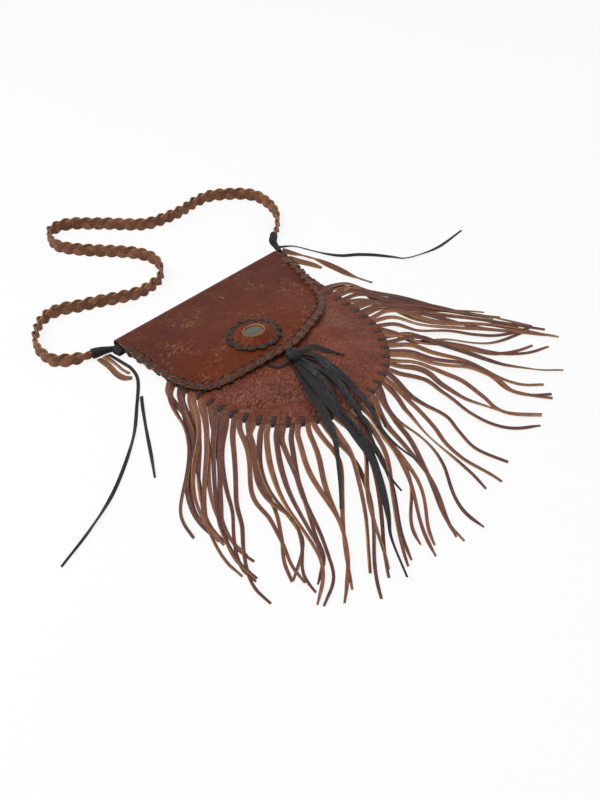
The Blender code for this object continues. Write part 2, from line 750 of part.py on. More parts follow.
def make_loose_ends(collection):
    for tails, radius, finish in (
        (LACE_TAILS, LACE_TAIL_RADIUS, "dark_lace"),
        (STRAND_TAILS, STRAND_TAIL_RADIUS, "strap_leather"),
    ):
        for name, route in tails.items():
            count = math.ceil(Path(smooth_curve(route)).length / TAIL_POINT_STEP) + 1
            add_lying_cord(collection, name, route, radius, count, finish)


# Flap pieces


def flap_edge_points():
    return [Vector((POUCH_HALF_WIDTH * across, HINGE.y - FLAP_DEPTH * down)) for across, down in FLAP_SHAPE]


FLAP_EDGE = Path(smooth_curve(flap_edge_points()))
KNOT_CENTRE = Vector((KNOT_ASIDE, min(point.y for point in FLAP_EDGE.points) - KNOT_BEYOND_TIP))


def flap_frame(s):
    forward = FLAP_EDGE.tangent(s)
    return FLAP_EDGE.at(s), right_of(forward), forward


def flap_stitches():
    run = FLAP_EDGE.length - 2 * FLAP_LACE_END
    count = round(run / FLAP_PITCH)
    return [FLAP_LACE_END + run * (index + 0.5) / count for index in range(count)]


def circle_points(centre, radius, count):
    return [Vector(centre) + radius * Vector((math.cos(a), math.sin(a)))
            for a in (2 * math.pi * step / count for step in range(count))]


def make_flap(collection, hinge):
    outline = FLAP_EDGE.even(round(FLAP_EDGE.length / FLAP_EDGE_STEP) + 1)
    left, right = outline[0], outline[-1]
    outline += between(right, left, FOLD_COLUMNS - 1)
    holes = [slot_at(*flap_frame(s + FLAP_SLANT), FLAP_INSET, LOOSE_GAP) for s in flap_stitches()]
    seat = circle_points(ROSETTE_CENTRE, ROSETTE_RADIUS + ROSETTE_INSET, SEAT_POINTS)
    seat += circle_points(ROSETTE_CENTRE, ROSETTE_RADIUS - ROSETTE_FLAT_RIM, SEAT_POINTS // 2)
    seat.append(Vector(ROSETTE_CENTRE))
    fill = seat + grid_fill(outline, PANEL_GRID_STEP, 2 * FLAP_INSET, seat)
    bm = slab(outline, holes, fill, flap_bottom, flap_top)
    top_walls = [f for f in bm.faces if abs(f.normal.z) < 0.5
                 and all(abs(v.co.y - HINGE.y) < GAP for v in f.verts)]
    bmesh.ops.spin(bm, geom=top_walls, cent=HINGE, axis=(1, 0, 0),
                   angle=-(math.pi / 2 + FOLD_TUCK_ANGLE), steps=FOLD_STEPS, use_duplicate=False)
    bmesh.ops.delete(bm, geom=[f for f in top_walls if f.is_valid], context="FACES_ONLY")
    add_mesh(collection, "flap", bm, "flap_leather", hinge)


def make_flap_lace(collection, hinge):
    sections = []
    for s in flap_stitches():
        sections += stitch_sections(flap_frame(s - FLAP_SLANT), flap_frame(s + FLAP_SLANT), FLAP_INSET,
                                    flap_bottom, flap_top, LOOSE_GAP)
    add_mesh(collection, "flap_lace", loft(sections), "dark_lace", hinge)


def rosette_frame(angle):
    outward = Vector((math.cos(angle), math.sin(angle)))
    return Vector(ROSETTE_CENTRE) + ROSETTE_RADIUS * outward, outward, Vector((-outward.y, outward.x))


def rosette_bottom(x, y):
    return flap_top(x, y) + ROSETTE_LIFT


def rosette_top(x, y):
    radius = (Vector((x, y)) - Vector(ROSETTE_CENTRE)).length
    rise = smoothstep((ROSETTE_RADIUS - ROSETTE_FLAT_RIM - radius) / ROSETTE_DOME_RUN)
    return rosette_bottom(x, y) + LEATHER + ROSETTE_DOME * rise


def oval(half_length, half_width, count):
    centre = Vector(ROSETTE_CENTRE)
    return [centre + Vector((half_length * math.cos(a), half_width * math.sin(a)))
            for a in (2 * math.pi * step / count for step in range(count))]


def make_rosette(collection, hinge):
    outline = circle_points(ROSETTE_CENTRE, ROSETTE_RADIUS, ROSETTE_POINTS)
    frames = [rosette_frame(2 * math.pi * (index + 0.5) / ROSETTE_STITCHES)
              for index in range(ROSETTE_STITCHES)]
    holes = [slot_at(*frame, ROSETTE_INSET, GAP) for frame in frames]
    holes.append(oval(MIRROR_HALF_LENGTH + GAP, MIRROR_HALF_WIDTH + GAP, ROSETTE_RING_POINTS))
    fill = circle_points(ROSETTE_CENTRE, ROSETTE_RADIUS - ROSETTE_FLAT_RIM, ROSETTE_RING_POINTS)
    fill += circle_points(ROSETTE_CENTRE, ROSETTE_RADIUS - ROSETTE_INNER_RIM, ROSETTE_RING_POINTS)
    bm = slab(outline, holes, fill, rosette_bottom, rosette_top)
    add_mesh(collection, "rosette_disc", bm, "flap_leather", hinge)
    sections = []
    for frame in frames:
        sections += stitch_sections(frame, frame, ROSETTE_INSET, rosette_bottom,
                                    lambda x, y: rosette_bottom(x, y) + LEATHER, GAP)
    add_mesh(collection, "rosette_lace", loft(sections), "dark_lace", hinge)


def make_mirror(collection, hinge):
    """The mirror lies along the flap, which slopes here, and fills the disc's opening."""
    bm = bmesh.new()
    bmesh.ops.create_cone(bm, cap_ends=True, segments=ROSETTE_RING_POINTS, radius1=1.0,
                          radius2=1 - MIRROR_BEVEL / MIRROR_HALF_WIDTH, depth=1.0)
    x, y = ROSETTE_CENTRE
    tilt = Matrix.Identity(4)
    tilt[2][0] = (flap_top(x + MIRROR_HALF_LENGTH, y) - flap_top(x - MIRROR_HALF_LENGTH, y)) / (
        2 * MIRROR_HALF_LENGTH)
    tilt[2][1] = (flap_top(x, y + MIRROR_HALF_WIDTH) - flap_top(x, y - MIRROR_HALF_WIDTH)) / (
        2 * MIRROR_HALF_WIDTH)
    size = Matrix.Diagonal((MIRROR_HALF_LENGTH - GAP, MIRROR_HALF_WIDTH - GAP, MIRROR_THICKNESS, 1.0))
    seat = Matrix.Translation((x, y, flap_top(x, y) + LOOSE_GAP + MIRROR_THICKNESS / 2))
    bmesh.ops.transform(bm, matrix=seat @ tilt @ size, verts=bm.verts)
    add_mesh(collection, "mirror", bm, "mirror_glass", hinge)


def make_knot(collection, hinge):
    bm = bmesh.new()
    bmesh.ops.create_uvsphere(bm, u_segments=14, v_segments=8, radius=1.0)
    height = front_top(*KNOT_CENTRE) + THONG_FLOAT + KNOT_HALF_SIZE[2]
    seat = Matrix.Translation((*KNOT_CENTRE, height))
    bmesh.ops.transform(bm, matrix=seat @ Matrix.Diagonal((*KNOT_HALF_SIZE, 1.0)), verts=bm.verts)
    add_mesh(collection, "tassel_knot", bm, "dark_lace", hinge)


def add_ribbon(collection, name, route, width_at, layer_at, hinge):
    """A flat thong from the knot that lies on what is below it, or in a higher layer of the bundle."""
    path = Path(smooth_curve([KNOT_CENTRE + Vector(point) for point in route]))
    count = math.ceil(path.length / THONG_STEP)
    sections = []
    for step in range(count + 1):
        share = step / count
        plan = path.at(share * path.length)
        half = right_of(path.tangent(share * path.length)) * (width_at(share) / 2)
        low = max(drape_height(*place) for place in (plan - half, plan, plan + half))
        low += THONG_FLOAT + layer_at(share) * THONG_LAYER
        high = low + THONG_THICKNESS
        sections.append([(*(plan - half), low), (*(plan + half), low),
                         (*(plan + half), high), (*(plan - half), high)])
    add_mesh(collection, name, loft(sections), "dark_lace", hinge)


def thong_width(full, share):
    swell = mix(THONG_ROOT_WIDTH, full, smoothstep(share / THONG_FULL_AT))
    return mix(swell, THONG_TIP_WIDTH, smoothstep((share - THONG_TAPER_FROM) / (1 - THONG_TAPER_FROM)))


def make_tassel(collection, hinge):
    for index, (full, root_layer, tip_layer, route) in enumerate(THONGS):
        add_ribbon(collection, f"tassel_thong_{index + 1:02d}", route,
                   lambda share, full=full: thong_width(full, share),
                   lambda share, low=root_layer, high=tip_layer: mix(low, high, smoothstep(share)), hinge)
    add_ribbon(collection, "tassel_lace", TASSEL_LACE_ROUTE, lambda share: LACE_WIDTH,
               lambda share: 0, hinge)


def add_hinge(collection):
    """An empty on the fold's axis that carries every piece of the flap."""
    hinge = bpy.data.objects.new("flap_hinge", None)
    hinge.location = HINGE
    hinge.empty_display_size = FOLD_RADIUS
    collection.objects.link(hinge)
    return hinge


def main():
    clear_scene()
    bag = make_collection("fringed_leather_bag")
    hinge = add_hinge(bag)
    make_back_panel(bag)
    make_front_panel(bag)
    make_fringe(bag)
    make_seam_lace(bag)
    make_corner_loops(bag)
    make_strap(bag)
    make_loose_ends(bag)
    make_flap(bag, hinge)
    make_flap_lace(bag, hinge)
    make_rosette(bag, hinge)
    make_mirror(bag, hinge)
    make_knot(bag, hinge)
    make_tassel(bag, hinge)


main()
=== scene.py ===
# Looks of a fringed leather bag that lies on its back: leather, lacing, braided strap, fringe and tassel.
# Metres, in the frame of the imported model: +X along the top fold, +Y towards the fold, +Z up.
# Only the points of the routes are listed in millimetres.

import math
import random

import bmesh
import bpy
from mathutils import Matrix, Vector, noise
from mathutils.geometry import delaunay_2d_cdt
from mathutils.kdtree import KDTree


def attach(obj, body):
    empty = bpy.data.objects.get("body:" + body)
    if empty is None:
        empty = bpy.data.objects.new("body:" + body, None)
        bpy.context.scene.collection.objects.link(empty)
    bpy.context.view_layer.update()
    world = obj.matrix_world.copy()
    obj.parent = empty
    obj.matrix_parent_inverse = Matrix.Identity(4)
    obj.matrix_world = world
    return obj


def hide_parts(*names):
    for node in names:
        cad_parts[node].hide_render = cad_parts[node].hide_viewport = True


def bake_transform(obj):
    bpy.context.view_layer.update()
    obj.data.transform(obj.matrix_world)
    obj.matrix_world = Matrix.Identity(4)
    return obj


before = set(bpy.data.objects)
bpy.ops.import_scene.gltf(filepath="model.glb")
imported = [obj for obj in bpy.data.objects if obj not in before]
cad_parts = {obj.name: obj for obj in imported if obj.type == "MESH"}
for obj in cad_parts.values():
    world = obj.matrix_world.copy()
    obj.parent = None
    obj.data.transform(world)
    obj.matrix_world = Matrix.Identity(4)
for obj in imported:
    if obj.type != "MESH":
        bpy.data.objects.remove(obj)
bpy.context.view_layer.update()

bl_info = {
    "name": "Fringed Leather Bag",
    "version": (1, 0, 0),
    "blender": (4, 5, 0),
    "location": "View3D > Sidebar > Bag",
    "description": "Builds a laced leather bag with a braided strap, a long fringe and a tassel",
    "category": "Add Mesh",
}

# Pouch and flap, in the frame's own sizes
GAP = 0.0003
LEATHER = 0.0012
POUCH_HALF_WIDTH = 0.110
POUCH_SIDE_LENGTH = 0.1305
POUCH_RADIUS = 0.102
MOUTH_SETBACK = 0.014
MOUTH_GAPE = 0.0017
BELLY_RISE = 0.0115
FLANGE_WIDTH = 0.013
SHOULDER_WIDTH = 0.062
RIM_SLOPE_WIDTH = 0.010
RIM_BOTTOM = 0.0014
FRINGE_BOTTOM = 0.0029
FRONT_BOTTOM = 0.0043
FLAP_RIM_BOTTOM = 0.0082
FLAP_DEPTH = 0.1385
FLAP_SLACK = 0.0015
# The flap's outline, in shares of the pouch's half width and of the flap's depth
FLAP_SHAPE = [
    (-0.990, 0.000), (-1.005, 0.190), (-1.000, 0.440), (-0.965, 0.680), (-0.855, 0.832),
    (-0.670, 0.925), (-0.440, 0.972), (-0.180, 0.994), (0.015, 1.000), (0.215, 0.960),
    (0.450, 0.888), (0.640, 0.800), (0.795, 0.655), (0.900, 0.462), (0.980, 0.246),
    (1.005, 0.088), (0.995, 0.000),
]

# Lacing
SEAM_PITCH = 0.0137
SEAM_INSET = 0.0085
SEAM_END = 0.018
FLAP_PITCH = 0.0112
FLAP_INSET = 0.0068
FLAP_LACE_END = 0.016
FLAP_SLANT = 0.0022
CORNER_LOOP_AT = 0.0115
CORNER_LOOP_REACH = 0.0075

# Rosette, knot and tassel: a thong has its width, the layer of its root and of its tip, and its route
ROSETTE_CENTRE = Vector((-0.0155, 0.0125))
ROSETTE_RADIUS = 0.0255
ROSETTE_DOME = 0.0042
ROSETTE_INSET = 0.0050
ROSETTE_STITCHES = 18
ROSETTE_LOBES = 13
ROSETTE_LIFT = 0.0010
ROSETTE_SCALLOP = 0.0012
ROSETTE_LIP = 0.0016
ROSETTE_CURL = 0.0006
ROSETTE_RINGS = (0.0, 0.03, 0.07, 0.13, 0.22, 0.32, 0.44, 0.56, 0.66, 0.76, 0.86, 0.94, 1.0)
ROSETTE_SPOKES = 144
ROSETTE_SLANT = 0.0012
ROPE_POINTS = 216
ROPE_SCALLOP = 0.0017
ROPE_WAVE = 0.0007
ROPE_WIDTH = 0.0034
ROPE_THICKNESS = 0.0014
MIRROR_HALF_LENGTH = 0.0120
MIRROR_HALF_WIDTH = 0.0105
MIRROR_OVERLAP = 0.0012
MIRROR_SPOKES = 72
# The mirror's rings: share of its oval, and how far they lie under its face
MIRROR_RINGS = ((1.04, 0.0020), (1.0, 0.0006), (0.93, 0.0), (0.60, -0.0002), (0.25, -0.0003))
KNOT_HALF_SIZE = Vector((0.0085, 0.0070, 0.0050))
KNOT_ASIDE = -0.0106
KNOT_BEYOND_TIP = 0.0106
# The knot's turns of thong: the axis that each winds about, and its size
KNOT_TURNS = [
    ((0.15, 0.25, 1.0), 1.05), ((1.0, 0.2, 0.25), 1.00), ((0.75, 0.75, 0.30), 1.12),
    ((-0.80, 0.60, 0.20), 1.18), ((0.20, 1.0, 0.25), 1.08), ((0.95, -0.20, 0.45), 1.20),
]
THONG_FLOAT = 0.0006
THONG_LAYER = 0.0015
THONG_THICKNESS = 0.0011
THONG_ROOT_WIDTH = 0.0036
THONG_TIP_WIDTH = 0.0016
THONGS = [
    (0.0080, 0, 0, [
        (-7, -4.4), (-14.8, -24.5), (-20, -43), (-24.8, -62.2), (-35, -82.6), (-48.4, -104), (-66.8, -124.7),
        (-83.4, -142.4), (-101.5, -160.6),
    ]),
    (0.0115, 1, 0, [
        (-3.7, -6.6), (-8.9, -26.5), (-11.2, -47.4), (-16, -69.1), (-21.6, -92.4), (-31, -117.6),
        (-38.9, -138.3), (-50.8, -157.6), (-66.4, -178.9), (-80.1, -195.9), (-95.6, -213.3), (-116.6, -248.9),
    ]),
    (0.0060, 2, 2, [
        (-0.8, -7.3), (-2.3, -30.6), (-1.9, -46.1), (-6.3, -59.6), (-14.8, -79.4), (-19.1, -96.3),
        (-25.4, -112.2),
    ]),
    (0.0070, 3, 2, [
        (1.5, -7.2), (3.7, -27.3), (7.9, -41.7), (5.5, -59.9), (0.2, -79.2), (-6.5, -94.5), (-12.5, -110.2),
        (-27.1, -128.6), (-35.4, -138.2),
    ]),
    (0.0060, 0, 0, [
        (3.7, -6.6), (6.1, -16.9), (8.7, -33), (7.5, -50.1), (3.6, -67), (-2.9, -86), (-11.2, -104),
        (-21.6, -123.5), (-35.1, -145.6), (-44.6, -167.2), (-49.1, -182.8),
    ]),
    (0.0050, 1, 0, [
        (5.7, -5.6), (12.3, -18.7), (13.3, -36.5), (15.6, -52.7), (13.6, -72.9), (11.2, -87.9), (11.7, -100.2),
        (5, -112.5), (0, -118.8),
    ]),
    (0.0080, 2, 1, [
        (7.4, -4), (14.9, -13.4), (13.9, -30.5), (15.8, -47.3), (16, -61.6), (10.2, -81.2), (4.3, -97),
        (-4.1, -114.7), (-10.6, -137.7), (-12.5, -153.8), (-12.5, -167.9),
    ]),
    (0.0050, 3, 0, [(8.7, -1.3), (21.8, -3.8), (29.8, -14.9), (40.3, -29)]),
]
TASSEL_LACE_ROUTE = [
    (-19.980, 17.480), (-22.940, 8.740), (-19.388, 0.920), (-13.320, -1.104), (-6.808, -0.368),
]

# Fringe: how strips fall from the seam, as offsets from their roots, at shares of the way round it
FRINGE_START = 0.079
STRIP_SAMPLES = 44
STRIP_FLOAT = 0.0004
STRIP_LAYER = 0.0011
STRIP_RISE = 0.0035
HEADER_STEP = 0.004
HEADER_INSET = 0.0040
HEADER_WIDTH = 0.0110
HEADER_THICKNESS = 0.0011
FRINGE_GUIDES = [
    (0.000, [(-12, -12), (-22, -36), (-30, -58), (-46, -80), (-68, -104), (-98, -140), (-106, -170)]),
    (0.157, [(-13, -17), (-48, -52), (-82, -88), (-101, -115), (-112, -149), (-112, -170)]),
    (0.226, [(-18, -18), (-42, -55), (-58, -85), (-64, -112), (-81, -136), (-97, -158), (-101, -181)]),
    (0.258, [(-14, -12), (-40, -47), (-59, -80), (-73, -126), (-83, -142), (-111, -166)]),
    (0.317, [(-21, -20), (-46, -61), (-66, -98), (-80, -124), (-92, -150), (-115, -164)]),
    (0.348, [(-17, -15), (-37, -50), (-53, -85), (-68, -114), (-90, -142), (-120, -171)]),
    (0.380, [(-10, -26), (-16, -52), (-42, -85), (-66, -112), (-90, -138), (-112, -165)]),
    (0.480, [(-6, -24), (-20, -59), (-44, -96), (-67, -131), (-96, -171)]),
    (0.570, [(-17, -20), (-25, -41), (-32, -68), (-44, -98), (-56, -120), (-82, -156), (-90, -180)]),
    (0.592, [(-11, -29), (-21, -63), (-27, -88), (-31, -114), (-34, -143), (-38, -164)]),
    (0.622, [(-8, -32), (-10, -57), (-10, -85), (-19, -105), (-26, -133), (-15, -166)]),
    (0.640, [(3, -16), (19, -38), (10, -63), (5, -91), (11, -115), (24, -143), (42, -164)]),
    (0.686, [(13, -24), (24, -52), (35, -74), (37, -102), (35, -124), (58, -154)]),
    (0.727, [(22, -18), (33, -47), (46, -78), (54, -113), (62, -137), (77, -153)]),
    (0.787, [(4, -14), (13, -39), (36, -62), (51, -88), (71, -104), (114, -112)]),
    (0.833, [(18, -6), (34, -26), (48, -52), (75, -90), (118, -149)]),
    (0.920, [(10, -8), (20, -24), (30, -44), (50, -74), (98, -157)]),
    (0.966, [(12, -2), (22, -16), (27, -44), (46, -80), (96, -154)]),
    (1.000, [(10, -6), (22, -20), (29, -45), (35, -66), (57, -104), (100, -166)]),
]

# Strap, lashings and loose ends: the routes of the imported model
STRAP_HEIGHT = 0.0075
STRANDS = 3
STRAND_THICKNESS = 0.0018
STRAND_CLIMB = 0.0030
STRAND_DEPTH = 0.0014
LASHING_TURNS = 9.0
ROLL_PITCH = 0.15
RIBBON_REACH = 0.004
STRAP_ROUTE = [
    (-133.8, 113.1), (-148, 117), (-161, 124), (-170, 134), (-171, 151), (-167, 166), (-158, 178), (-146, 189),
    (-131, 195), (-116, 193), (-100, 185), (-81, 177), (-61, 167), (-42, 160), (-25, 160), (-9, 165), (4, 180),
    (8, 199), (2, 216), (-10, 233), (-25, 250), (-39, 267), (-50, 285), (-51, 300), (-43, 316), (-28, 319),
    (-13, 312), (1, 298), (15, 284), (30, 267), (45, 254), (64, 249), (89, 247), (113, 250), (133, 248),
    (149, 238), (164, 224), (172, 208), (170, 185), (160, 163), (143, 146), (127.5, 135),
]
# Along a lashing: place, and radius of the lace's run there
LASHINGS = {
    "lashing_left": [
        (-132.8, 112.8, 7, 5.5), (-127, 111.5, 6.5, 5), (-121.2, 110.6, 5.2, 3.4), (-116.4, 109.6, 4, 2.1),
        (-113.4, 107.4, 3.4, 1.7), (-113.1, 103.5, 3.3, 1.7), (-113.1, 99.5, 3.3, 1.7),
    ],
    "lashing_right": [
        (126.4, 134.2, 7, 5.5), (122.2, 130.2, 6.7, 5), (119.6, 122.5, 5.5, 3.8), (117.2, 115, 4.2, 2.6),
        (114.2, 108, 3.4, 1.7), (113.1, 103.5, 3.3, 1.7), (113.1, 99.5, 3.3, 1.7),
    ],
}
LACE_TAILS = {
    "lace_tail_left_long": [
        (-122.2, 106.9), (-120.5, 88), (-120, 74), (-126.5, 56.5), (-149, 30), (-181, -4), (-231, -42),
        (-274, -64), (-315, -80),
    ],
    "lace_tail_left_short": [(-138.5, 36.2), (-149, 21), (-165, -4), (-181, -30), (-197, -55)],
    "lace_tail_right": [
        (124.2, 123.1), (137, 113), (145, 94), (153, 76), (162, 63), (176, 52), (188, 39), (200, 22),
        (207, 12), (224, 5), (251, 0), (292, 3),
    ],
}
STRAND_TAILS = {
    "strand_tail_left_outer": [(-134, 107.1), (-133.5, 92), (-135.5, 78), (-134, 68), (-128.5, 62.5)],
    "strand_tail_left_inner": [(-127.5, 106.7), (-127, 90), (-127.5, 79), (-126.5, 70)],
    "strand_tail_right_outer": [
        (121.6, 114.6), (125.5, 104), (130.5, 93), (136, 78), (138, 64), (140, 48), (142, 28), (148, 6),
    ],
    "strand_tail_right_inner": [(116.5, 99.5), (120.5, 87), (125.5, 75), (129, 62)],
}

# Soft swells of the leather: height, size and seed. How far the lacing pulls the leather down at a stitch
FRONT_SWELLS = ((0.0012, 0.030, 3.1), (0.0004, 0.011, 8.4))
FLAP_SWELLS = ((0.0008, 0.040, 1.7), (0.00025, 0.012, 5.2))
FLAP_LIFT = 0.0004
FOLD_CALM = 0.020
SEAM_PULL = 0.0007
FLAP_PULL = 0.0006

# What the thongs lie on past the front panel: heights over the lacing and over the fringe
LACE_RISE = 0.0011
SEAM_TOP = 0.0072
FRINGE_TOP = 0.0062
FRINGE_FALL = 0.022

# Creases pressed into the front panel: both ends, width and depth
CREASES = [
    ((-0.004, -0.038), (0.020, -0.084), 0.0032, -0.0036),
    ((0.004, -0.040), (0.026, -0.080), 0.0050, 0.0016),
    ((-0.090, -0.064), (-0.034, -0.098), 0.0090, 0.0034),
    ((-0.084, -0.046), (-0.022, -0.088), 0.0055, -0.0056),
    ((-0.070, -0.030), (-0.010, -0.062), 0.0080, 0.0026),
    ((0.034, -0.020), (0.080, -0.050), 0.0090, 0.0024),
    ((0.040, -0.034), (0.078, -0.066), 0.0060, -0.0026),
]

# Camera and light
CAMERA_AT = (-0.608, -0.6525, 0.736)
CAMERA_TARGET = (-0.034, -0.0705, 0.0)
CAMERA_LENS = 52.56
SENSOR = 36.0
WHITE = (1.0, 1.0, 1.0, 1.0)

# Values that follow from the sizes above
UP = Vector((0.0, 0.0, 1.0))
FOLD_Y = (POUCH_SIDE_LENGTH + POUCH_RADIUS) / 2
ROUND_CENTRE = Vector((0.0, FOLD_Y - POUCH_SIDE_LENGTH))
FOLD_RADIUS = (FLAP_RIM_BOTTOM + LEATHER) / 2
HINGE_Y = FOLD_Y - FOLD_RADIUS
MOUTH_Y = FOLD_Y - MOUTH_SETBACK
FOLD_MIDDLE = FOLD_RADIUS - LEATHER / 2
FRINGE_MIDDLE = FRINGE_BOTTOM + 0.0006
FOLD_RUN = math.pi * FOLD_MIDDLE
SLANT_LENGTH = math.hypot(POUCH_HALF_WIDTH, POUCH_SIDE_LENGTH)
LEAN = math.acos(POUCH_RADIUS / SLANT_LENGTH) - math.atan2(POUCH_SIDE_LENGTH, POUCH_HALF_WIDTH)
SIDE_RUN = math.sqrt(SLANT_LENGTH ** 2 - POUCH_RADIUS ** 2)
ROUND_RUN = POUCH_RADIUS * (math.pi - 2 * LEAN)
SEAM_RUN = 2 * SIDE_RUN + ROUND_RUN


# Sizes and colours that a user would change


def length_property(name, description, default, low, high):
    return bpy.props.FloatProperty(
        name=name, description=description, default=default, min=low, max=high, unit="LENGTH")


def colour_property(name, description, *default):
    return bpy.props.FloatVectorProperty(
        name=name, description=description, default=default, subtype="COLOR", min=0.0, max=1.0)


class BagSizes(bpy.types.PropertyGroup):
    lace_width: length_property(
        "Lace width", "Width of the flat lace of the seam and the flap", 0.0035, 0.002, 0.006)
    lace_thickness: length_property("Lace thickness", "Thickness of the flat lace", 0.0009, 0.0005, 0.002)
    strip_root_width: length_property(
        "Strip width at the seam", "Width of a fringe strip where it leaves the seam", 0.0056, 0.003, 0.007)
    strip_tip_width: length_property(
        "Strip width at the tip", "Width of a fringe strip at its tip", 0.0030, 0.002, 0.006)
    strip_thickness: length_property("Strip thickness", "Thickness of the fringe leather", 0.0017, 0.001, 0.003)
    braid_pitch: length_property(
        "Braid pitch", "Length of one full turn of a strand in the strap", 0.036, 0.02, 0.08)
    braid_strand_width: length_property("Strand width", "Width of one strand of the strap", 0.0088, 0.004, 0.010)
    sheet_step: length_property(
        "Sheet fineness", "Distance between the points of the leather panels", 0.0024, 0.001, 0.01)


class BagColours(bpy.types.PropertyGroup):
    flap: colour_property("Flap", "Smooth reddish leather of the flap", 0.100, 0.019, 0.006)
    flap_front: colour_property("Flap's front", "Where the flap is worn to orange brown", 0.122, 0.020, 0.003)
    flap_corner: colour_property(
        "Flap's corners", "Purplish leather along the fold and in the corners", 0.090, 0.018, 0.010)
    panel: colour_property("Panels", "Pebbled leather of the pouch", 0.180, 0.043, 0.020)
    fringe: colour_property("Fringe", "Grain side of the fringe strips", 0.168, 0.060, 0.038)
    strap: colour_property("Strap", "Leather of the braided strap", 0.208, 0.088, 0.042)
    cut_edge: colour_property(
        "Cut edge", "Golden tan core that shows where the leather is cut", 0.520, 0.285, 0.125)
    flesh: colour_property("Flesh side", "Napped inner side of the panels and the flap", 0.165, 0.078, 0.042)
    lace: colour_property("Dark lace", "Nearly black lace and thongs", 0.009, 0.008, 0.009)
    worn_lace: colour_property(
        "Worn lace", "Brown of the flap's lace where its dye has rubbed off", 0.150, 0.062, 0.034)
    mirror: colour_property("Mirror", "Old mirror glass of the rosette", 0.075, 0.068, 0.046)
    floor: colour_property("Floor", "Plain pale floor", 0.86, 0.86, 0.86)


# Shader values written as expressions


class Value:
    """A socket of a shader tree. Sums and products of it add Math nodes."""

    def __init__(self, tree, socket):
        self.tree = tree
        self.socket = socket

    def maths(self, operation, first, second):
        return node(self.tree, "ShaderNodeMath", {"operation": operation}, {0: first, 1: second})

    def __add__(self, other):
        return self.maths("ADD", self, other)

    __radd__ = __add__

    def __sub__(self, other):
        return self.maths("SUBTRACT", self, other)

    def __rsub__(self, other):
        return self.maths("SUBTRACT", other, self)

    def __mul__(self, other):
        return self.maths("MULTIPLY", self, other)

    __rmul__ = __mul__

    def size(self):
        return self.maths("ABSOLUTE", self, 0.0)

    def clipped(self):
        return node(self.tree, "ShaderNodeClamp", {}, {"Value": self})

    def between(self, low, high):
        """0 below low, 1 above high, smooth between."""
        settings = {"interpolation_type": "SMOOTHSTEP"}
        return node(self.tree, "ShaderNodeMapRange", settings, {"Value": self, "From Min": low, "From Max": high})


def node(tree, kind, settings, inputs, output=0):
    """Add a node: its settings first, then the values or links of its sockets. Gives back one of its outputs."""
    made = tree.nodes.new(kind)
    for key, value in settings.items():
        setattr(made, key, value)
    plug(tree, made.inputs, inputs)
    return None if output is None else Value(tree, made.outputs[output])


def plug(tree, sockets, values):
    """Link each socket to its value, or set it where the value is plain."""
    for key, value in values.items():
        if isinstance(value, Value):
            tree.links.new(value.socket, sockets[key])
        else:
            sockets[key].default_value = value


def mixed(tree, factor, a, b):
    """A colour between a and b. Plain colours are given as three numbers."""
    a, b = (colour if isinstance(colour, Value) else (*colour, 1.0) for colour in (a, b))
    settings = {"data_type": "RGBA", "blend_type": "MIX", "clamp_factor": True}
    return node(tree, "ShaderNodeMix", settings, {0: factor, 6: a, 7: b}, output=2)


class Finish:
    """A material under construction: leather is painted in coats, over places and patterns of the flat hide."""

    def __init__(self, name, ground):
        self.material = bpy.data.materials.new(name)
        self.material.use_nodes = True
        self.tree = self.material.node_tree
        self.lay = self.layer("lay", "Vector")
        self.colour = ground

    def layer(self, name, output="Fac"):
        settings = {"attribute_type": "GEOMETRY", "attribute_name": name}
        return node(self.tree, "ShaderNodeAttribute", settings, {}, output)

    def part(self, axis):
        return node(self.tree, "ShaderNodeSeparateXYZ", {}, {"Vector": self.lay}, axis)

    def stretched(self, stretch):
        if stretch is None:
            return self.lay
        return node(self.tree, "ShaderNodeVectorMath", {"operation": "MULTIPLY"}, {0: self.lay, 1: stretch})

    def clouds(self, scale, detail=3.0, distortion=0.0, stretch=None):
        inputs = {"Vector": self.stretched(stretch), "Scale": scale, "Detail": detail, "Distortion": distortion}
        return node(self.tree, "ShaderNodeTexNoise", {}, inputs)

    def pebbles(self, scale, stretch=None):
        inputs = {"Vector": self.stretched(stretch), "Scale": scale}
        return node(self.tree, "ShaderNodeTexVoronoi", {"feature": "SMOOTH_F1"}, inputs)

    def threads(self, scale, stretch, width):
        """Fine meandering lines: 1 on a line, 0 away from it."""
        return 1 - (self.clouds(scale, 4.0, 0.6, stretch) - 0.5).size().between(0.0, width)

    def coat(self, factor, colour):
        """Paint a colour over the coats below, as thick as the factor says."""
        self.colour = mixed(self.tree, factor, self.colour, colour)

    def done(self, roughness, relief=None, depth=0.0, strength=1.0, specular=0.5, metallic=0.0):
        """Hand the colour, the roughness and the relief to the shader, and set its constants."""
        feeds = {"Base Color": self.colour, "Roughness": roughness, "Specular IOR Level": specular,
                 "Metallic": metallic}
        if relief:
            bump = {"Height": relief, "Distance": depth, "Strength": strength}
            feeds["Normal"] = node(self.tree, "ShaderNodeBump", {}, bump)
        plug(self.tree, self.tree.nodes["Principled BSDF"].inputs, feeds)
        return self.material


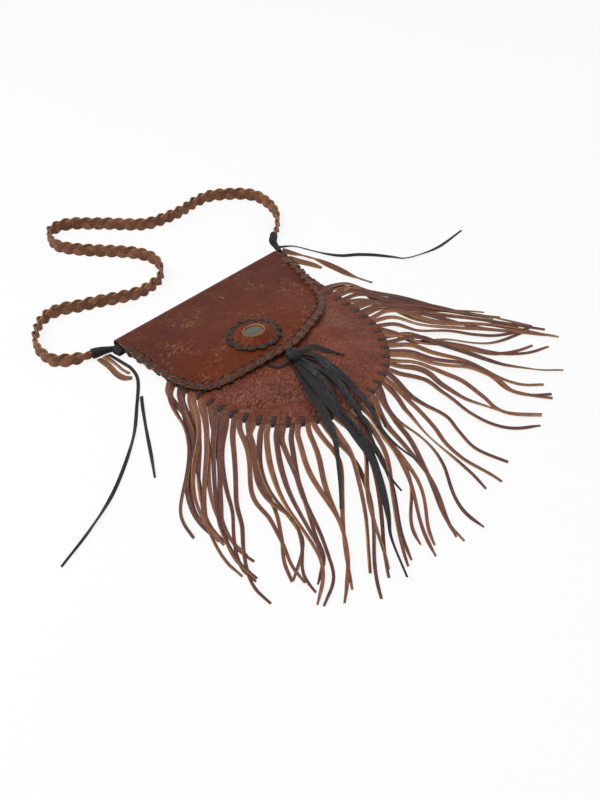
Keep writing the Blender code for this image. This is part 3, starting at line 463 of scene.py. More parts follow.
def smooth_leather(name, colours, brighter):
    """Waxed leather of the flap and its rosette: mottled, scuffed and finely creased."""
    finish = Finish(name, Vector(colours.flap) * brighter)
    down, right = finish.part("Y"), finish.part("X")
    mottle = finish.clouds(26.0, detail=5.0, distortion=0.4)
    patches = finish.clouds(95.0, detail=6.0, distortion=0.8)
    towards_front = (down * -1.0 + right * 0.35 + mottle * 0.09).between(-0.060, 0.060)
    finish.coat(towards_front, Vector(colours.flap_front) * brighter)
    far_corner = (down + right.size() * 0.45 + mottle * 0.06).between(0.085, 0.165)
    finish.coat(far_corner * 0.85, colours.flap_corner)
    finish.coat(patches.between(0.46, 0.66) * 0.30, (0.050, 0.010, 0.005))
    finish.coat(mottle.between(0.50, 0.72) * 0.40, (0.055, 0.012, 0.006))
    scuffs = finish.threads(62.0, stretch=(1.0, 2.0, 1.0), width=0.013)
    finish.coat(scuffs * finish.clouds(30.0).between(0.46, 0.60) * 0.85, (0.440, 0.200, 0.095))
    hairs = finish.threads(120.0, stretch=(2.2, 0.7, 1.0), width=0.022)
    worn = finish.clouds(60.0, detail=3.0, distortion=0.5).between(0.44, 0.64)
    finish.coat(hairs * worn * 0.38, (0.330, 0.125, 0.058))
    finish.coat(finish.layer("edge") * 0.45, (0.060, 0.018, 0.012))
    relief = finish.pebbles(520.0) * 0.45 + patches * 0.9 + hairs * -0.35 + scuffs * -0.30
    return finish.done(0.36 + patches * 0.16 + scuffs * 0.10, relief, depth=0.00060, specular=0.12)


def pebbled_leather(name, colours):
    """Full grain of the pouch: round pebbles with painted shade in the valleys between them and a soft painted
    highlight on their tops, flatter to the right.
    """
    finish = Finish(name, colours.panel)
    grain_stretch = (1.0, 1.45, 1.0)
    pebbles = finish.pebbles(400.0, grain_stretch)
    small = finish.pebbles(1000.0, grain_stretch)
    valleys = pebbles.between(0.32, 0.62)
    tops = 1 - pebbles.between(0.05, 0.30)
    mottle = finish.clouds(30.0, detail=5.0, distortion=0.5)
    flatter = (finish.part("X") + mottle * 0.05).between(0.020, 0.075) * 0.65
    # Where the pebbles' tops get a painted highlight: cloudy patches, fewer where the grain is flatter
    painted_shine = finish.clouds(75.0, detail=4.0, distortion=0.4).between(0.42, 0.62) * (1 - flatter)
    finish.coat(mottle.between(0.38, 0.66) * 0.55, (0.092, 0.022, 0.012))
    # Painted shade: the valleys between the pebbles are darkened
    finish.coat(valleys * (1 - flatter) * 0.65, (0.060, 0.014, 0.008))
    # Painted highlight: the tops of the pebbles are lightened in the cloudy patches above
    finish.coat(tops * painted_shine * 0.62, (0.540, 0.240, 0.155))
    finish.coat(finish.layer("edge") * 0.35, (0.075, 0.022, 0.014))
    relief = pebbles * (flatter - 1.0) + small * -0.15 + mottle * 0.5
    return finish.done(0.32 + valleys * 0.30, relief, depth=0.00140, specular=0.22)


def strip_leather(name, colours, main, light, dark):
    """Grain side of cut strips: each strip's own tone, which also changes from root to tip, tints it."""
    finish = Finish(name, dark)
    mottle = finish.clouds(70.0, detail=4.0, distortion=0.4)
    tone = finish.layer("tone")
    finish.coat(tone, getattr(colours, main))
    finish.coat((tone * 1.4 - 0.4).clipped() * 0.6, light)
    finish.coat(mottle.between(0.38, 0.66) * 0.45, dark)
    finish.coat(finish.threads(260.0, stretch=(2.0, 0.5, 1.0), width=0.035) * 0.20, colours.cut_edge)
    relief = finish.pebbles(640.0) * -0.7 + mottle
    return finish.done(0.44 + mottle * 0.16, relief, depth=0.00045, strength=0.9, specular=0.18)


def cut_edge_leather(name, colours):
    """The tan core of the hide, furry where it was cut, duller on some strips than on others."""
    finish = Finish(name, colours.cut_edge)
    fibres = finish.clouds(900.0, stretch=(1.0, 0.4, 1.0))
    stained = finish.clouds(45.0, detail=3.0, distortion=0.4).between(0.44, 0.60)
    finish.coat(fibres.between(0.35, 0.70) * 0.7, (0.240, 0.120, 0.055))
    finish.coat(((1 - finish.layer("tone")) * 0.55 + stained * 0.25).clipped(), (0.150, 0.074, 0.044))
    return finish.done(0.80, fibres, depth=0.00030, strength=0.8, specular=0.1)


def napped_leather(name, colours):
    """The inner side of the hide: a short brown nap, brushed lighter and darker in patches."""
    finish = Finish(name, colours.flesh)
    nap = finish.clouds(1400.0, stretch=(1.0, 0.6, 1.0))
    brushed = finish.clouds(38.0, detail=4.0, distortion=0.6)
    finish.coat(brushed.between(0.38, 0.64), (0.105, 0.046, 0.024))
    finish.coat(nap.between(0.40, 0.66) * 0.45, (0.270, 0.140, 0.078))
    return finish.done(0.92, nap + brushed * 0.5, depth=0.00035, specular=0.06)


def dark_leather(name, colours, wear):
    """Dyed lace: nearly black, rubbed to brown by its wear, with fine length-wise cracks; its side edges are
    lighter, partly rubbed and partly a painted highlight.
    """
    finish = Finish(name, colours.lace)
    mottle = finish.clouds(120.0, detail=4.0, distortion=0.3)
    worn = finish.clouds(260.0, detail=3.0, distortion=0.5)
    cracks = finish.threads(300.0, stretch=(1.6, 0.5, 1.0), width=0.05)
    finish.coat(finish.layer("tone") * (0.45 + worn * 0.7) * wear, colours.worn_lace)
    finish.coat(mottle.between(0.40, 0.70) * 0.5, (0.017, 0.015, 0.017))
    finish.coat(cracks * 0.40, (0.006, 0.005, 0.005))
    # Side edges lighter: partly rubbed leather, partly a painted highlight that sets the thongs and stitches apart
    edge_wear_and_highlight = mix(Vector((0.070, 0.060, 0.055)), Vector((0.32, 0.15, 0.07)), wear)
    finish.coat(finish.layer("edge") * worn.between(0.40, 0.60) * mix(0.32, 0.9, wear), edge_wear_and_highlight)
    return finish.done(0.40 + mottle * 0.20, mottle - cracks * 0.5, depth=0.00050, specular=0.26)


def old_mirror(name, colours):
    """Mirror glass gone dull, with a few specks in its silvering."""
    finish = Finish(name, colours.mirror)
    haze = finish.clouds(110.0)
    finish.coat(finish.clouds(700.0).between(0.60, 0.68) * 0.6, (0.030, 0.026, 0.018))
    finish.coat(haze.between(0.4, 0.7) * 0.4, (0.12, 0.11, 0.08))
    return finish.done(0.14 + haze * 0.16, specular=0.4, metallic=0.15)


# Each finish: the name of its slot, what makes it, and what that is given
FINISHES = {
    "waxed_flap": ("flap_leather", smooth_leather, 1.0),
    "domed_disc": ("flap_leather", smooth_leather, 1.25),
    "pebbled_panel": ("panel_leather", pebbled_leather),
    "fringe_grain": ("fringe_leather", strip_leather, "fringe", (0.240, 0.100, 0.056), (0.074, 0.028, 0.030)),
    "strap_grain": ("strap_leather", strip_leather, "strap", (0.320, 0.135, 0.060), (0.105, 0.038, 0.022)),
    "cut_edge": ("fringe_leather", cut_edge_leather),
    "flesh_side": ("panel_leather", napped_leather),
    "dyed_lace": ("dark_lace", dark_leather, 0.0),
    "faded_lace": ("dark_lace", dark_leather, 0.40),
    "rubbed_lace": ("dark_lace", dark_leather, 1.0),
    "old_mirror": ("mirror_glass", old_mirror),
}


def finish_for(name):
    """The material of that name, made when it is first asked for."""
    slot, maker, *given = FINISHES[name]
    return bpy.data.materials.get(name) or maker(name, bpy.context.scene.bag_colours, *given)


# Curves in the plan and in space


def clamped(t):
    return min(max(t, 0.0), 1.0)


def smoothstep(t):
    t = clamped(t)
    return t * t * (3 - 2 * t)


def mix(a, b, t):
    return a + (b - a) * t


def metres(points):
    """Points of a route listed in millimetres, as vectors in metres."""
    return [Vector([value / 1000 for value in point]) for point in points]


def smooth_curve(points, per_span=8):
    """A curve through all the points, as a finer row of points."""
    points = [Vector(point) for point in points]
    padded = [2 * points[0] - points[1]] + points + [2 * points[-1] - points[-2]]
    curve = []
    for a, b, c, d in zip(padded, padded[1:], padded[2:], padded[3:]):
        for step in range(per_span):
            t = step / per_span
            curve.append(0.5 * (2 * b + (c - a) * t + (2 * a - 5 * b + 4 * c - d) * t * t
                                + (3 * b - a - 3 * c + d) * t * t * t))
    curve.append(points[-1])
    return curve


class Path:
    """A polyline that is read by the distance along it."""

    def __init__(self, points):
        self.points = points
        self.marks = [0.0]
        for a, b in zip(points, points[1:]):
            self.marks.append(self.marks[-1] + (b - a).length)
        self.length = self.marks[-1]

    def at(self, s):
        s = min(max(s, 0.0), self.length)
        low, high = 0, len(self.marks) - 1
        while high - low > 1:
            middle = (low + high) // 2
            if self.marks[middle] <= s:
                low = middle
            else:
                high = middle
        span = max(self.marks[high] - self.marks[low], 1e-9)
        return self.points[low].lerp(self.points[high], (s - self.marks[low]) / span)

    def tangent(self, s, reach=0.002):
        return (self.at(s + reach) - self.at(s - reach)).normalized()

    def even(self, count):
        return [self.at(self.length * step / (count - 1)) for step in range(count)]


def right_of(direction):
    return Vector((direction.y, -direction.x))


def ray(angle):
    return Vector((math.cos(angle), math.sin(angle)))


def turns_of(count):
    """Angles of one full turn, evenly spread."""
    return [2 * math.pi * step / count for step in range(count)]


def leaning(side, angle):
    """The way that a lying ribbon faces when it leans to its side by an angle."""
    return (UP * math.cos(angle) + Vector((*side, 0.0)) * math.sin(angle)).normalized()


def seam_frame(s):
    """Place, outward direction and forward direction at distance s round the seam."""
    on_round = min(max(s - SIDE_RUN, 0.0), ROUND_RUN)
    outward = ray(math.pi + LEAN + on_round / POUCH_RADIUS)
    forward = -right_of(outward)
    straight = min(s - SIDE_RUN, 0.0) + max(s - SIDE_RUN - ROUND_RUN, 0.0)
    return ROUND_CENTRE + POUCH_RADIUS * outward + straight * forward, outward, forward


FLAP_EDGE = Path(smooth_curve([(POUCH_HALF_WIDTH * across, HINGE_Y - FLAP_DEPTH * down)
                               for across, down in FLAP_SHAPE]))
KNOT_CENTRE = Vector((KNOT_ASIDE, min(point.y for point in FLAP_EDGE.points) - KNOT_BEYOND_TIP))


def flap_frame(s):
    """Place, outward direction and forward direction at distance s along the flap's free edge."""
    forward = FLAP_EDGE.tangent(s)
    return FLAP_EDGE.at(s), right_of(forward), forward


def stitches(run, end, pitch):
    """Distances of evenly spread stitches along an edge that is bare for a bit at both ends."""
    count = round((run - 2 * end) / pitch)
    return [end + (run - 2 * end) * (index + 0.5) / count for index in range(count)]


SEAM_STITCHES = stitches(SEAM_RUN, SEAM_END, SEAM_PITCH)
FLAP_STITCHES = stitches(FLAP_EDGE.length, FLAP_LACE_END, FLAP_PITCH)


class EdgeFinder:
    """Finds the distance along an edge, and the distance to it, of any place in the plan."""

    def __init__(self, frame_at, run, step=0.0015):
        self.places = [run * index / math.ceil(run / step) for index in range(math.ceil(run / step) + 1)]
        self.tree = KDTree(len(self.places))
        for index, s in enumerate(self.places):
            self.tree.insert((*frame_at(s)[0], 0.0), index)
        self.tree.balance()

    def find(self, x, y):
        _, index, distance = self.tree.find((x, y, 0.0))
        return self.places[index], distance


SEAM_FINDER = EdgeFinder(seam_frame, SEAM_RUN)
FLAP_FINDER = EdgeFinder(flap_frame, FLAP_EDGE.length)


def tug(finder, stitch_list, inset, x, y):
    """How lacing pulls on a sheet: 1 at a stitch, falling to -1 between two, none away from the edge."""
    s, depth = finder.find(x, y)
    fade = 1 - smoothstep(depth / (2.2 * inset))
    if fade <= 0 or s < stitch_list[0] or s > stitch_list[-1]:
        return 0.0
    pitch = stitch_list[1] - stitch_list[0]
    return fade * math.cos(2 * math.pi * (s - stitch_list[0]) / pitch)


# Heights of the leather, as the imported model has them, with the swells and creases of soft hide


def inside_seam(x, y):
    """Distance in from the seam's edge, negative outside it."""
    arm = Vector((x, y)) - ROUND_CENTRE
    if arm.y < -abs(arm.x) * math.tan(LEAN):
        return POUCH_RADIUS - arm.length
    return POUCH_RADIUS - abs(arm.x) * math.cos(LEAN) + arm.y * math.sin(LEAN)


def shoulder(x, y):
    """How far the leather has risen from the seam: 0 along the flange, 1 past the shoulder."""
    return 1 - (1 - clamped((inside_seam(x, y) - FLANGE_WIDTH) / SHOULDER_WIDTH)) ** 2


def belly(x, y):
    return shoulder(x, y) * smoothstep((HINGE_Y - y) / FLAP_DEPTH)


def front_bottom(x, y):
    full = belly(x, y)
    return FRONT_BOTTOM + BELLY_RISE * full + MOUTH_GAPE * shoulder(x, y) * (1 - full)


def flap_bottom(x, y):
    return FLAP_RIM_BOTTOM + (BELLY_RISE + FLAP_SLACK) * belly(x, y)


def back_bottom(x, y):
    return RIM_BOTTOM * (1 - smoothstep((inside_seam(x, y) - FLANGE_WIDTH) / RIM_SLOPE_WIDTH))


def swells(kinds, x, y):
    """Soft hills of hide that lies loose: each kind has its height, its size and a seed."""
    return sum(height * noise.noise(Vector((x / size, y / size, seed))) for height, size, seed in kinds)


def crease_height(x, y):
    total = 0.0
    for start, end, width, depth in CREASES:
        start, end = Vector(start), Vector(end)
        along = clamped((Vector((x, y)) - start).dot(end - start) / (end - start).length_squared)
        away = (Vector((x, y)) - start.lerp(end, along)).length / width
        total += depth * math.exp(-away * away) * math.sin(math.pi * min(along + 0.15, 1.0)) ** 0.5
    return total


def front_middle(x, y):
    """Middle of the front panel's thickness, with creases, soft swells and the pull of the lacing."""
    calm = smoothstep(inside_seam(x, y) / FLANGE_WIDTH)
    soft = calm * (swells(FRONT_SWELLS, x, y) + crease_height(x, y))
    pull = -SEAM_PULL * tug(SEAM_FINDER, SEAM_STITCHES, SEAM_INSET, x, y)
    return front_bottom(x, y) + LEATHER / 2 + soft + pull


def flap_middle(x, y):
    """Middle of the flap's thickness, with soft swells and the pull of the lacing."""
    calm = smoothstep((HINGE_Y - y) / FOLD_CALM)
    pull = FLAP_PULL * tug(FLAP_FINDER, FLAP_STITCHES, FLAP_INSET, x, y)
    return flap_bottom(x, y) + LEATHER / 2 + calm * (FLAP_LIFT + swells(FLAP_SWELLS, x, y) - pull)


def drape_height(x, y):
    """Top of what lies under a thong: front panel, lacing, then fringe."""
    inside = inside_seam(x, y)
    if inside >= 0:
        lace = LACE_RISE * (1 - smoothstep((inside - FLANGE_WIDTH) / FLANGE_WIDTH))
        return front_bottom(x, y) + LEATHER + lace
    return mix(SEAM_TOP, FRINGE_TOP, smoothstep(-inside / FRINGE_FALL))


# Making meshes


STRIP_SECTION = [(-1.0, -0.5), (-0.86, -1.0), (0.86, -1.0), (1.0, -0.5), (1.0, 0.5), (0.86, 1.0),
                 (-0.86, 1.0), (-1.0, 0.5)]
CUT_SIDES = (0, 2, 3, 4, 6, 7)
UNDERSIDE = 1
SHARP_ANGLE = math.radians(50)
RUBBED_RIM = 0.006
SLIVER = 1e-9


def per_point(value, count):
    """A value for each point of a strip, from a list of them or from one for all."""
    return value if isinstance(value, list) else [value] * count


class Shape:
    """A mesh under construction. Its points hold what the materials read: their place on the flat hide, the
    tone of their strip and their nearness to a cut edge."""

    def __init__(self):
        self.bm = bmesh.new()
        layers = self.bm.verts.layers
        self.lay = layers.float_vector.new("lay")
        self.tone = layers.float.new("tone")
        self.edge = layers.float.new("edge")

    def mark(self, vertex, lay, tone=0.5, edge=0.0):
        vertex[self.lay] = Vector(lay)
        vertex[self.tone] = tone
        vertex[self.edge] = edge
        return vertex

    def point(self, place, lay, tone=0.5, edge=0.0):
        return self.mark(self.bm.verts.new(place), lay, tone, edge)

    def band(self, first, second, material=0):
        """Faces between two rings of points."""
        for a, b, c, d in zip(first, second, second[1:] + second[:1], first[1:] + first[:1]):
            self.bm.faces.new((a, b, c, d)).material_index = material

    def sweep(self, points, ups, widths, thicknesses, tones=0.5, seed=0.0, edge_index=0, under_index=0,
              closed=False, cup=0.0, cut_sides=CUT_SIDES):
        """A flat strip along points. Its sides and its underside may have other materials than its face."""
        count = len(points)
        widths, thicknesses, tones = (per_point(value, count) for value in (widths, thicknesses, tones))
        rings = []
        run = 0.0
        for index, point in enumerate(points):
            after = points[(index + 1) % count if closed else min(index + 1, count - 1)]
            before = points[index - 1 if closed else max(index - 1, 0)]
            tangent = (after - before).normalized()
            across = tangent.cross(ups[index]).normalized()
            up = across.cross(tangent)
            if index:
                run += (point - points[index - 1]).length
            ring = []
            for a, b in STRIP_SECTION:
                aside = a * widths[index] / 2
                hollow = cup * widths[index] * (a * a - 0.5)
                place = point + across * aside + up * (b * thicknesses[index] / 2 + hollow)
                ring.append(self.point(place, (aside + seed, run, seed), tones[index], float(abs(a) > 0.9)))
            rings.append(ring)
        pairs = list(zip(rings, rings[1:]))
        if closed:
            pairs.append((rings[-1], rings[0]))
        sides = len(STRIP_SECTION)
        for first, second in pairs:
            for side in range(sides):
                following = (side + 1) % sides
                face = self.bm.faces.new((first[side], first[following], second[following], second[side]))
                if side in cut_sides:
                    face.material_index = edge_index
                elif side == UNDERSIDE:
                    face.material_index = under_index
        if not closed:
            for end in (list(reversed(rings[0])), rings[-1]):
                self.bm.faces.new(end).material_index = edge_index

    def piece(self, name, materials, body=None, replaced=None):
        """Turn the mesh into a piece of the bag, with its materials and its body, and hide the imported node that
        it stands for.
        """
        mesh = bpy.data.meshes.new(name)
        self.bm.to_mesh(mesh)
        self.bm.free()
        for material in materials:
            mesh.materials.append(finish_for(material))
        smoothed(mesh)
        piece = bpy.data.objects.new(name, mesh)
        bpy.context.scene.collection.objects.link(piece)
        if replaced:
            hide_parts(replaced)
        if body:
            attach(piece, body)
        return piece


def smoothed(mesh):
    """Shade a mesh smooth but for its sharp edges."""
    mesh.shade_smooth()
    mesh.set_sharp_from_angle(angle=SHARP_ANGLE)


# Where lace runs in one whipped stitch: reach out from the edge in insets, height from 0 under the edge to 1
# over it, the way it faces outward and up, and how far it leans with the slant
WHIP_STITCH = [
    (-1.00, -0.4, (-0.6, -0.8), 1.0), (-0.55, -0.9, (0.0, -1.0), 0.6), (0.00, -0.8, (0.5, -0.9), -0.7),
    (0.12, 0.5, (1.0, 0.0), -1.0), (0.00, 1.5, (0.6, 0.8), -0.9), (-0.45, 1.9, (0.0, 1.0), 0.0),
    (-0.88, 1.5, (-0.4, 0.9), 0.9), (-1.04, 0.7, (-1.0, 0.1), 1.0),
]


def laced_path(stitch_list, frame_at, slant, inset, bottom, top, lift):
    """Points and facing directions of a lace that whips over an edge through one slit after another."""
    points, ups = [], []
    pitch = stitch_list[1] - stitch_list[0]
    for s in stitch_list:
        for order, (reach, height, facing, lean) in enumerate(WHIP_STITCH):
            # The first two points lie behind, on the way from the last slit
            shift = slant * lean - (pitch * (2 - order) / 3 if order < 2 else 0.0)
            plan, outward, _ = frame_at(s + shift)
            place = plan + outward * (reach * inset if reach < 0 else reach * inset + 0.5 * lift)
            z = mix(bottom(*place), top(*place), clamped(height)) + (height - clamped(height)) * lift
            points.append(Vector((*place, z)))
            ups.append(Vector((*(outward * facing[0]), facing[1])).normalized())
    return points, ups


def finer(points, ups, per_span=3):
    """More points along a smooth curve through the given ones, with facings between theirs."""
    dense = smooth_curve(points, per_span)
    turned = []
    for index in range(len(dense)):
        span, step = divmod(index, per_span)
        first, second = (ups[min(place, len(ups) - 1)] for place in (span, span + 1))
        turned.append(first.lerp(second, step / per_span).normalized())
    return dense, turned


def make_lacing(name, stitch_list, frame_at, slant, inset, bottom, top, body, replaced, finish, widen=(1.0, 1.0)):
    """Whip lacing; its width and its wear change from one end to the other."""
    sizes = bpy.context.scene.bag_sizes
    rng = random.Random(name)
    shape = Shape()
    points, ups = laced_path(stitch_list, frame_at, slant, inset, bottom, top, sizes.lace_thickness)
    dense, turned = finer(points, ups)
    per_stitch = len(dense) / len(stitch_list)
    pulled = [rng.uniform(0.88, 1.12) for _ in stitch_list]
    shares = [smoothstep(1.6 * i / len(dense) - 0.3) for i in range(len(dense))]
    widths = [mix(*widen, share) * sizes.lace_width * pulled[min(int(i / per_stitch), len(pulled) - 1)]
              for i, share in enumerate(shares)]
    tones = [mix(0.40, 1.0, share) for share in shares]
    shape.sweep(dense, turned, widths, sizes.lace_thickness, tones, cup=-0.14)
    shape.piece(name, [finish], body, replaced)


def sheet_object(name, outline, place, materials, step, edge_value):
    """A leather sheet: its flat cut, meshed evenly, laid in space by a function, then given its thickness."""
    rim = KDTree(len(outline))
    for index, point in enumerate(outline):
        rim.insert((*point, 0.0), index)
    rim.balance()
    xs, ys = [p.x for p in outline], [p.y for p in outline]
    points = list(outline)
    edges = [(index, (index + 1) % len(outline)) for index in range(len(outline))]
    row_step = step * 0.866
    for row in range(int((max(ys) - min(ys)) / row_step) + 1):
        for column in range(int((max(xs) - min(xs)) / step) + 1):
            point = Vector((min(xs) + (column + 0.5 * (row % 2)) * step, min(ys) + (row + 0.5) * row_step))
            if rim.find((*point, 0.0))[2] > 0.8 * step:
                points.append(point)
    flat, _, faces, _, _, _ = delaunay_2d_cdt(points, edges, [list(range(len(outline)))], 1, 1e-7)
    shape = Shape()
    verts = []
    for point in flat:
        near = rim.find((*point, 0.0))[2]
        edge = edge_value * (1 - smoothstep(near / RUBBED_RIM))
        verts.append(shape.point(place(point), (*point, 0.0), 1.0, edge))
    for face in faces:
        a, b, c = (flat[index] for index in face[:3])
        if abs((b - a).cross(c - a)) > SLIVER:
            shape.bm.faces.new([verts[index] for index in face])
    bmesh.ops.delete(shape.bm, geom=[v for v in verts if not v.link_faces], context="VERTS")
    piece = shape.piece(name, materials)
    thicken = piece.modifiers.new("thickness", "SOLIDIFY")
    thicken.thickness = LEATHER
    thicken.offset = 0.0
    thicken.use_even_offset = False
    thicken.material_offset_rim = 1
    thicken.material_offset = 2
    graph = bpy.context.evaluated_depsgraph_get()
    finished = bpy.data.meshes.new_from_object(piece.evaluated_get(graph))
    piece.modifiers.clear()
    piece.data = finished
    smoothed(piece.data)
    return piece


def seam_outline(top_y, step):
    """Points down one side, round the bottom and up the other side, both ends at top_y."""
    first = (FOLD_Y - top_y) / math.cos(LEAN)
    count = round((SEAM_RUN - 2 * first) / step)
    return [seam_frame(mix(first, SEAM_RUN - first, index / count))[0] for index in range(count + 1)]


def between(a, b, count):
    """Points evenly spread between two, without the two."""
    return [a.lerp(b, (step + 1) / (count + 1)) for step in range(count)]


# Operators, one for each piece or group


class BAG_OT_cover(bpy.types.Operator):
    """Back panel and flap: one hide that folds over the top of the pouch"""

    bl_idname = "bag.cover"
    bl_label = "Back and flap"

    def execute(self, context):
        step = context.scene.bag_sizes.sheet_step
        flap_side = FLAP_EDGE.even(round(FLAP_EDGE.length / step) + 1)
        back_side = [Vector((p.x, 2 * HINGE_Y + FOLD_RUN - p.y))
                     for p in reversed(seam_outline(HINGE_Y - 0.001, step))]
        outline = flap_side + between(flap_side[-1], back_side[0], 3)
        outline += back_side + between(back_side[-1], flap_side[0], 3)
        piece = sheet_object("cover", outline, self.place, ["waxed_flap", "cut_edge", "flesh_side"], step, 0.8)
        # Where the cover turns at the fold its sides show the grain, as the rest of the fold does
        for face in piece.data.polygons:
            if face.material_index == 1 and face.center.y > HINGE_Y - 0.004:
                face.material_index = 0
        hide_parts("flap", "back_panel")
        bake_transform(piece)
        return {"FINISHED"}

    def place(self, point):
        """Where a point of the flat hide lies: on the flap, round the fold, or on the back past it."""
        x, past_flap = point.x, point.y - HINGE_Y
        if past_flap <= 0:
            return Vector((x, point.y, flap_middle(x, point.y)))
        if past_flap < FOLD_RUN:
            angle = past_flap / FOLD_MIDDLE
            return Vector((x, HINGE_Y + FOLD_MIDDLE * math.sin(angle), FOLD_RADIUS + FOLD_MIDDLE * math.cos(angle)))
        down = past_flap - FOLD_RUN
        y = HINGE_Y - down
        return Vector((x, y, LEATHER / 2 + back_bottom(x, y) * smoothstep(down / 0.012)))


class BAG_OT_front_panel(bpy.types.Operator):
    """Front panel of pebbled leather, laced to the back round its sides and bottom"""

    bl_idname = "bag.front_panel"
    bl_label = "Front panel"

    def execute(self, context):
        step = context.scene.bag_sizes.sheet_step
        outline = seam_outline(MOUTH_Y, step)
        outline += between(outline[-1], outline[0], round((outline[-1] - outline[0]).length / step))
        piece = sheet_object("front", outline, lambda p: Vector((p.x, p.y, front_middle(p.x, p.y))),
                             ["pebbled_panel", "cut_edge", "flesh_side"], step, 0.7)
        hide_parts("front_panel")
        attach(piece, "pouch")
        return {"FINISHED"}


class BAG_OT_lacing(bpy.types.Operator):
    """Whip lacing of the seam and of the flap's free edge"""

    bl_idname = "bag.lacing"
    bl_label = "Lacing"

    def execute(self, context):
        make_lacing("seam_lacing", SEAM_STITCHES, seam_frame, 0.0, 0.93 * SEAM_INSET, lambda x, y: RIM_BOTTOM,
                    lambda x, y: front_middle(x, y) + LEATHER / 2, "pouch", "seam_lace", "faded_lace",
                    (1.30, 1.30))
        make_lacing("flap_lacing", FLAP_STITCHES, flap_frame, 1.4 * FLAP_SLANT, FLAP_INSET,
                    lambda x, y: flap_middle(x, y) - LEATHER / 2,
                    lambda x, y: flap_middle(x, y) + LEATHER / 2, "flap", "flap_lace", "rubbed_lace",
                    (1.60, 2.10))
        return {"FINISHED"}


class BAG_OT_fringe(bpy.types.Operator):
    """Fringe: a strip of leather in the seam, cut into long narrow strips"""

    bl_idname = "bag.fringe"
    bl_label = "Fringe"

    def execute(self, context):
        rng = random.Random(20)
        guides = [(share, Path(smooth_curve([Vector((0.0, 0.0))] + metres(offsets))).even(30))
                  for share, offsets in FRINGE_GUIDES]
        roots = self.roots()
        shape = Shape()
        self.header(shape, roots)
        for index, s in enumerate(roots):
            share = index / (len(roots) - 1)
            self.strip(shape, s, share, self.fall(guides, share), index, rng)
        shape.piece("fringe_strips", ["fringe_grain", "cut_edge"], "pouch", "fringe")
        return {"FINISHED"}

    def roots(self):
        """Two strips leave the seam between each pair of stitches."""
        start = FRINGE_START - SEAM_PITCH / 2
        held = [s for s in SEAM_STITCHES if start <= s <= SEAM_RUN - start]
        return [mix(a, b, share) for a, b in zip(held, held[1:]) for share in (0.31, 0.69)]

    def fall(self, guides, share):
        """How a strip lies that leaves the seam between two guides."""
        for (low, first), (high, second) in zip(guides, guides[1:]):
            if share <= high:
                break
        return [a.lerp(b, (share - low) / (high - low)) for a, b in zip(first, second)]

    def header(self, shape, roots):
        """The uncut part of the fringe, held between the panels, with its edge just out of the seam."""
        first, last = roots[0] - HEADER_STEP, roots[-1] + HEADER_STEP
        count = round((last - first) / HEADER_STEP)
        points = []
        for index in range(count + 1):
            plan, outward, _ = seam_frame(mix(first, last, index / count))
            points.append(Vector((*(plan - outward * HEADER_INSET), FRINGE_MIDDLE)))
        shape.sweep(points, per_point(UP, len(points)), HEADER_WIDTH, HEADER_THICKNESS, 1.0, edge_index=1,
                    cut_sides=range(len(STRIP_SECTION)))

    def strip(self, shape, s, share, fall, index, rng):
        sizes = bpy.context.scene.bag_sizes
        base, outward, _ = seam_frame(s)
        turn = Matrix.Rotation(rng.gauss(0.0, 0.040), 2)
        length = rng.uniform(0.91, 1.06) if share < 0.83 else rng.uniform(0.82, 1.03)
        sway = rng.uniform(0.0015, 0.0042)
        phase = rng.uniform(0.0, 1.0)
        waves = rng.uniform(0.9, 1.7)
        roll = rng.uniform(-0.9, 0.9)
        roll_phase = rng.uniform(0.0, 1.0)
        tone = rng.random()
        layer = (index * 7) % 4 * STRIP_LAYER
        bow = rng.uniform(0.0, 0.0030)
        pointed = 0.55 * phase
        root = base + outward * 0.0015
        path = Path([base - outward * 0.003, root] + [root + turn @ (point * length) for point in fall[1:]])
        points, ups, widths, tones = [], [], [], []
        for step in range(STRIP_SAMPLES):
            t = step / (STRIP_SAMPLES - 1)
            place = path.at(t * path.length)
            side = right_of(path.tangent(t * path.length, RIBBON_REACH))
            place += side * (sway * smoothstep(t / 0.25) * math.sin(2 * math.pi * (waves * t + phase)))
            width = mix(sizes.strip_root_width, sizes.strip_tip_width, smoothstep(t / 0.9))
            angle = roll * smoothstep((t - 0.02) / 0.25) * math.sin(2 * math.pi * (0.9 * t + roll_phase))
            reach = abs(math.sin(angle)) * width / 2 + abs(math.cos(angle)) * sizes.strip_thickness / 2
            lying = STRIP_FLOAT + reach + layer * (1 - 0.5 * t) + bow * math.sin(math.pi * t) ** 2
            rise = STRIP_RISE * math.sin(math.pi * min(t / 0.30, 1.0)) ** 2
            z = mix(FRINGE_MIDDLE, lying, smoothstep(t / 0.16)) + rise * smoothstep(t / 0.04)
            points.append(Vector((*place, z)))
            ups.append(leaning(side, angle))
            ragged = 1 + 0.08 * math.sin(9 * t + 6 * phase)
            widths.append(width * ragged * (1 - pointed * smoothstep((t - 0.93) / 0.07)))
            tones.append(clamped(tone + 0.25 * (0.5 - t)))
        thickness = [sizes.strip_thickness * (1 - 0.15 * step / STRIP_SAMPLES) for step in range(STRIP_SAMPLES)]
        shape.sweep(points, ups, widths, thickness, tones, seed=0.13 * index, edge_index=1, under_index=1)


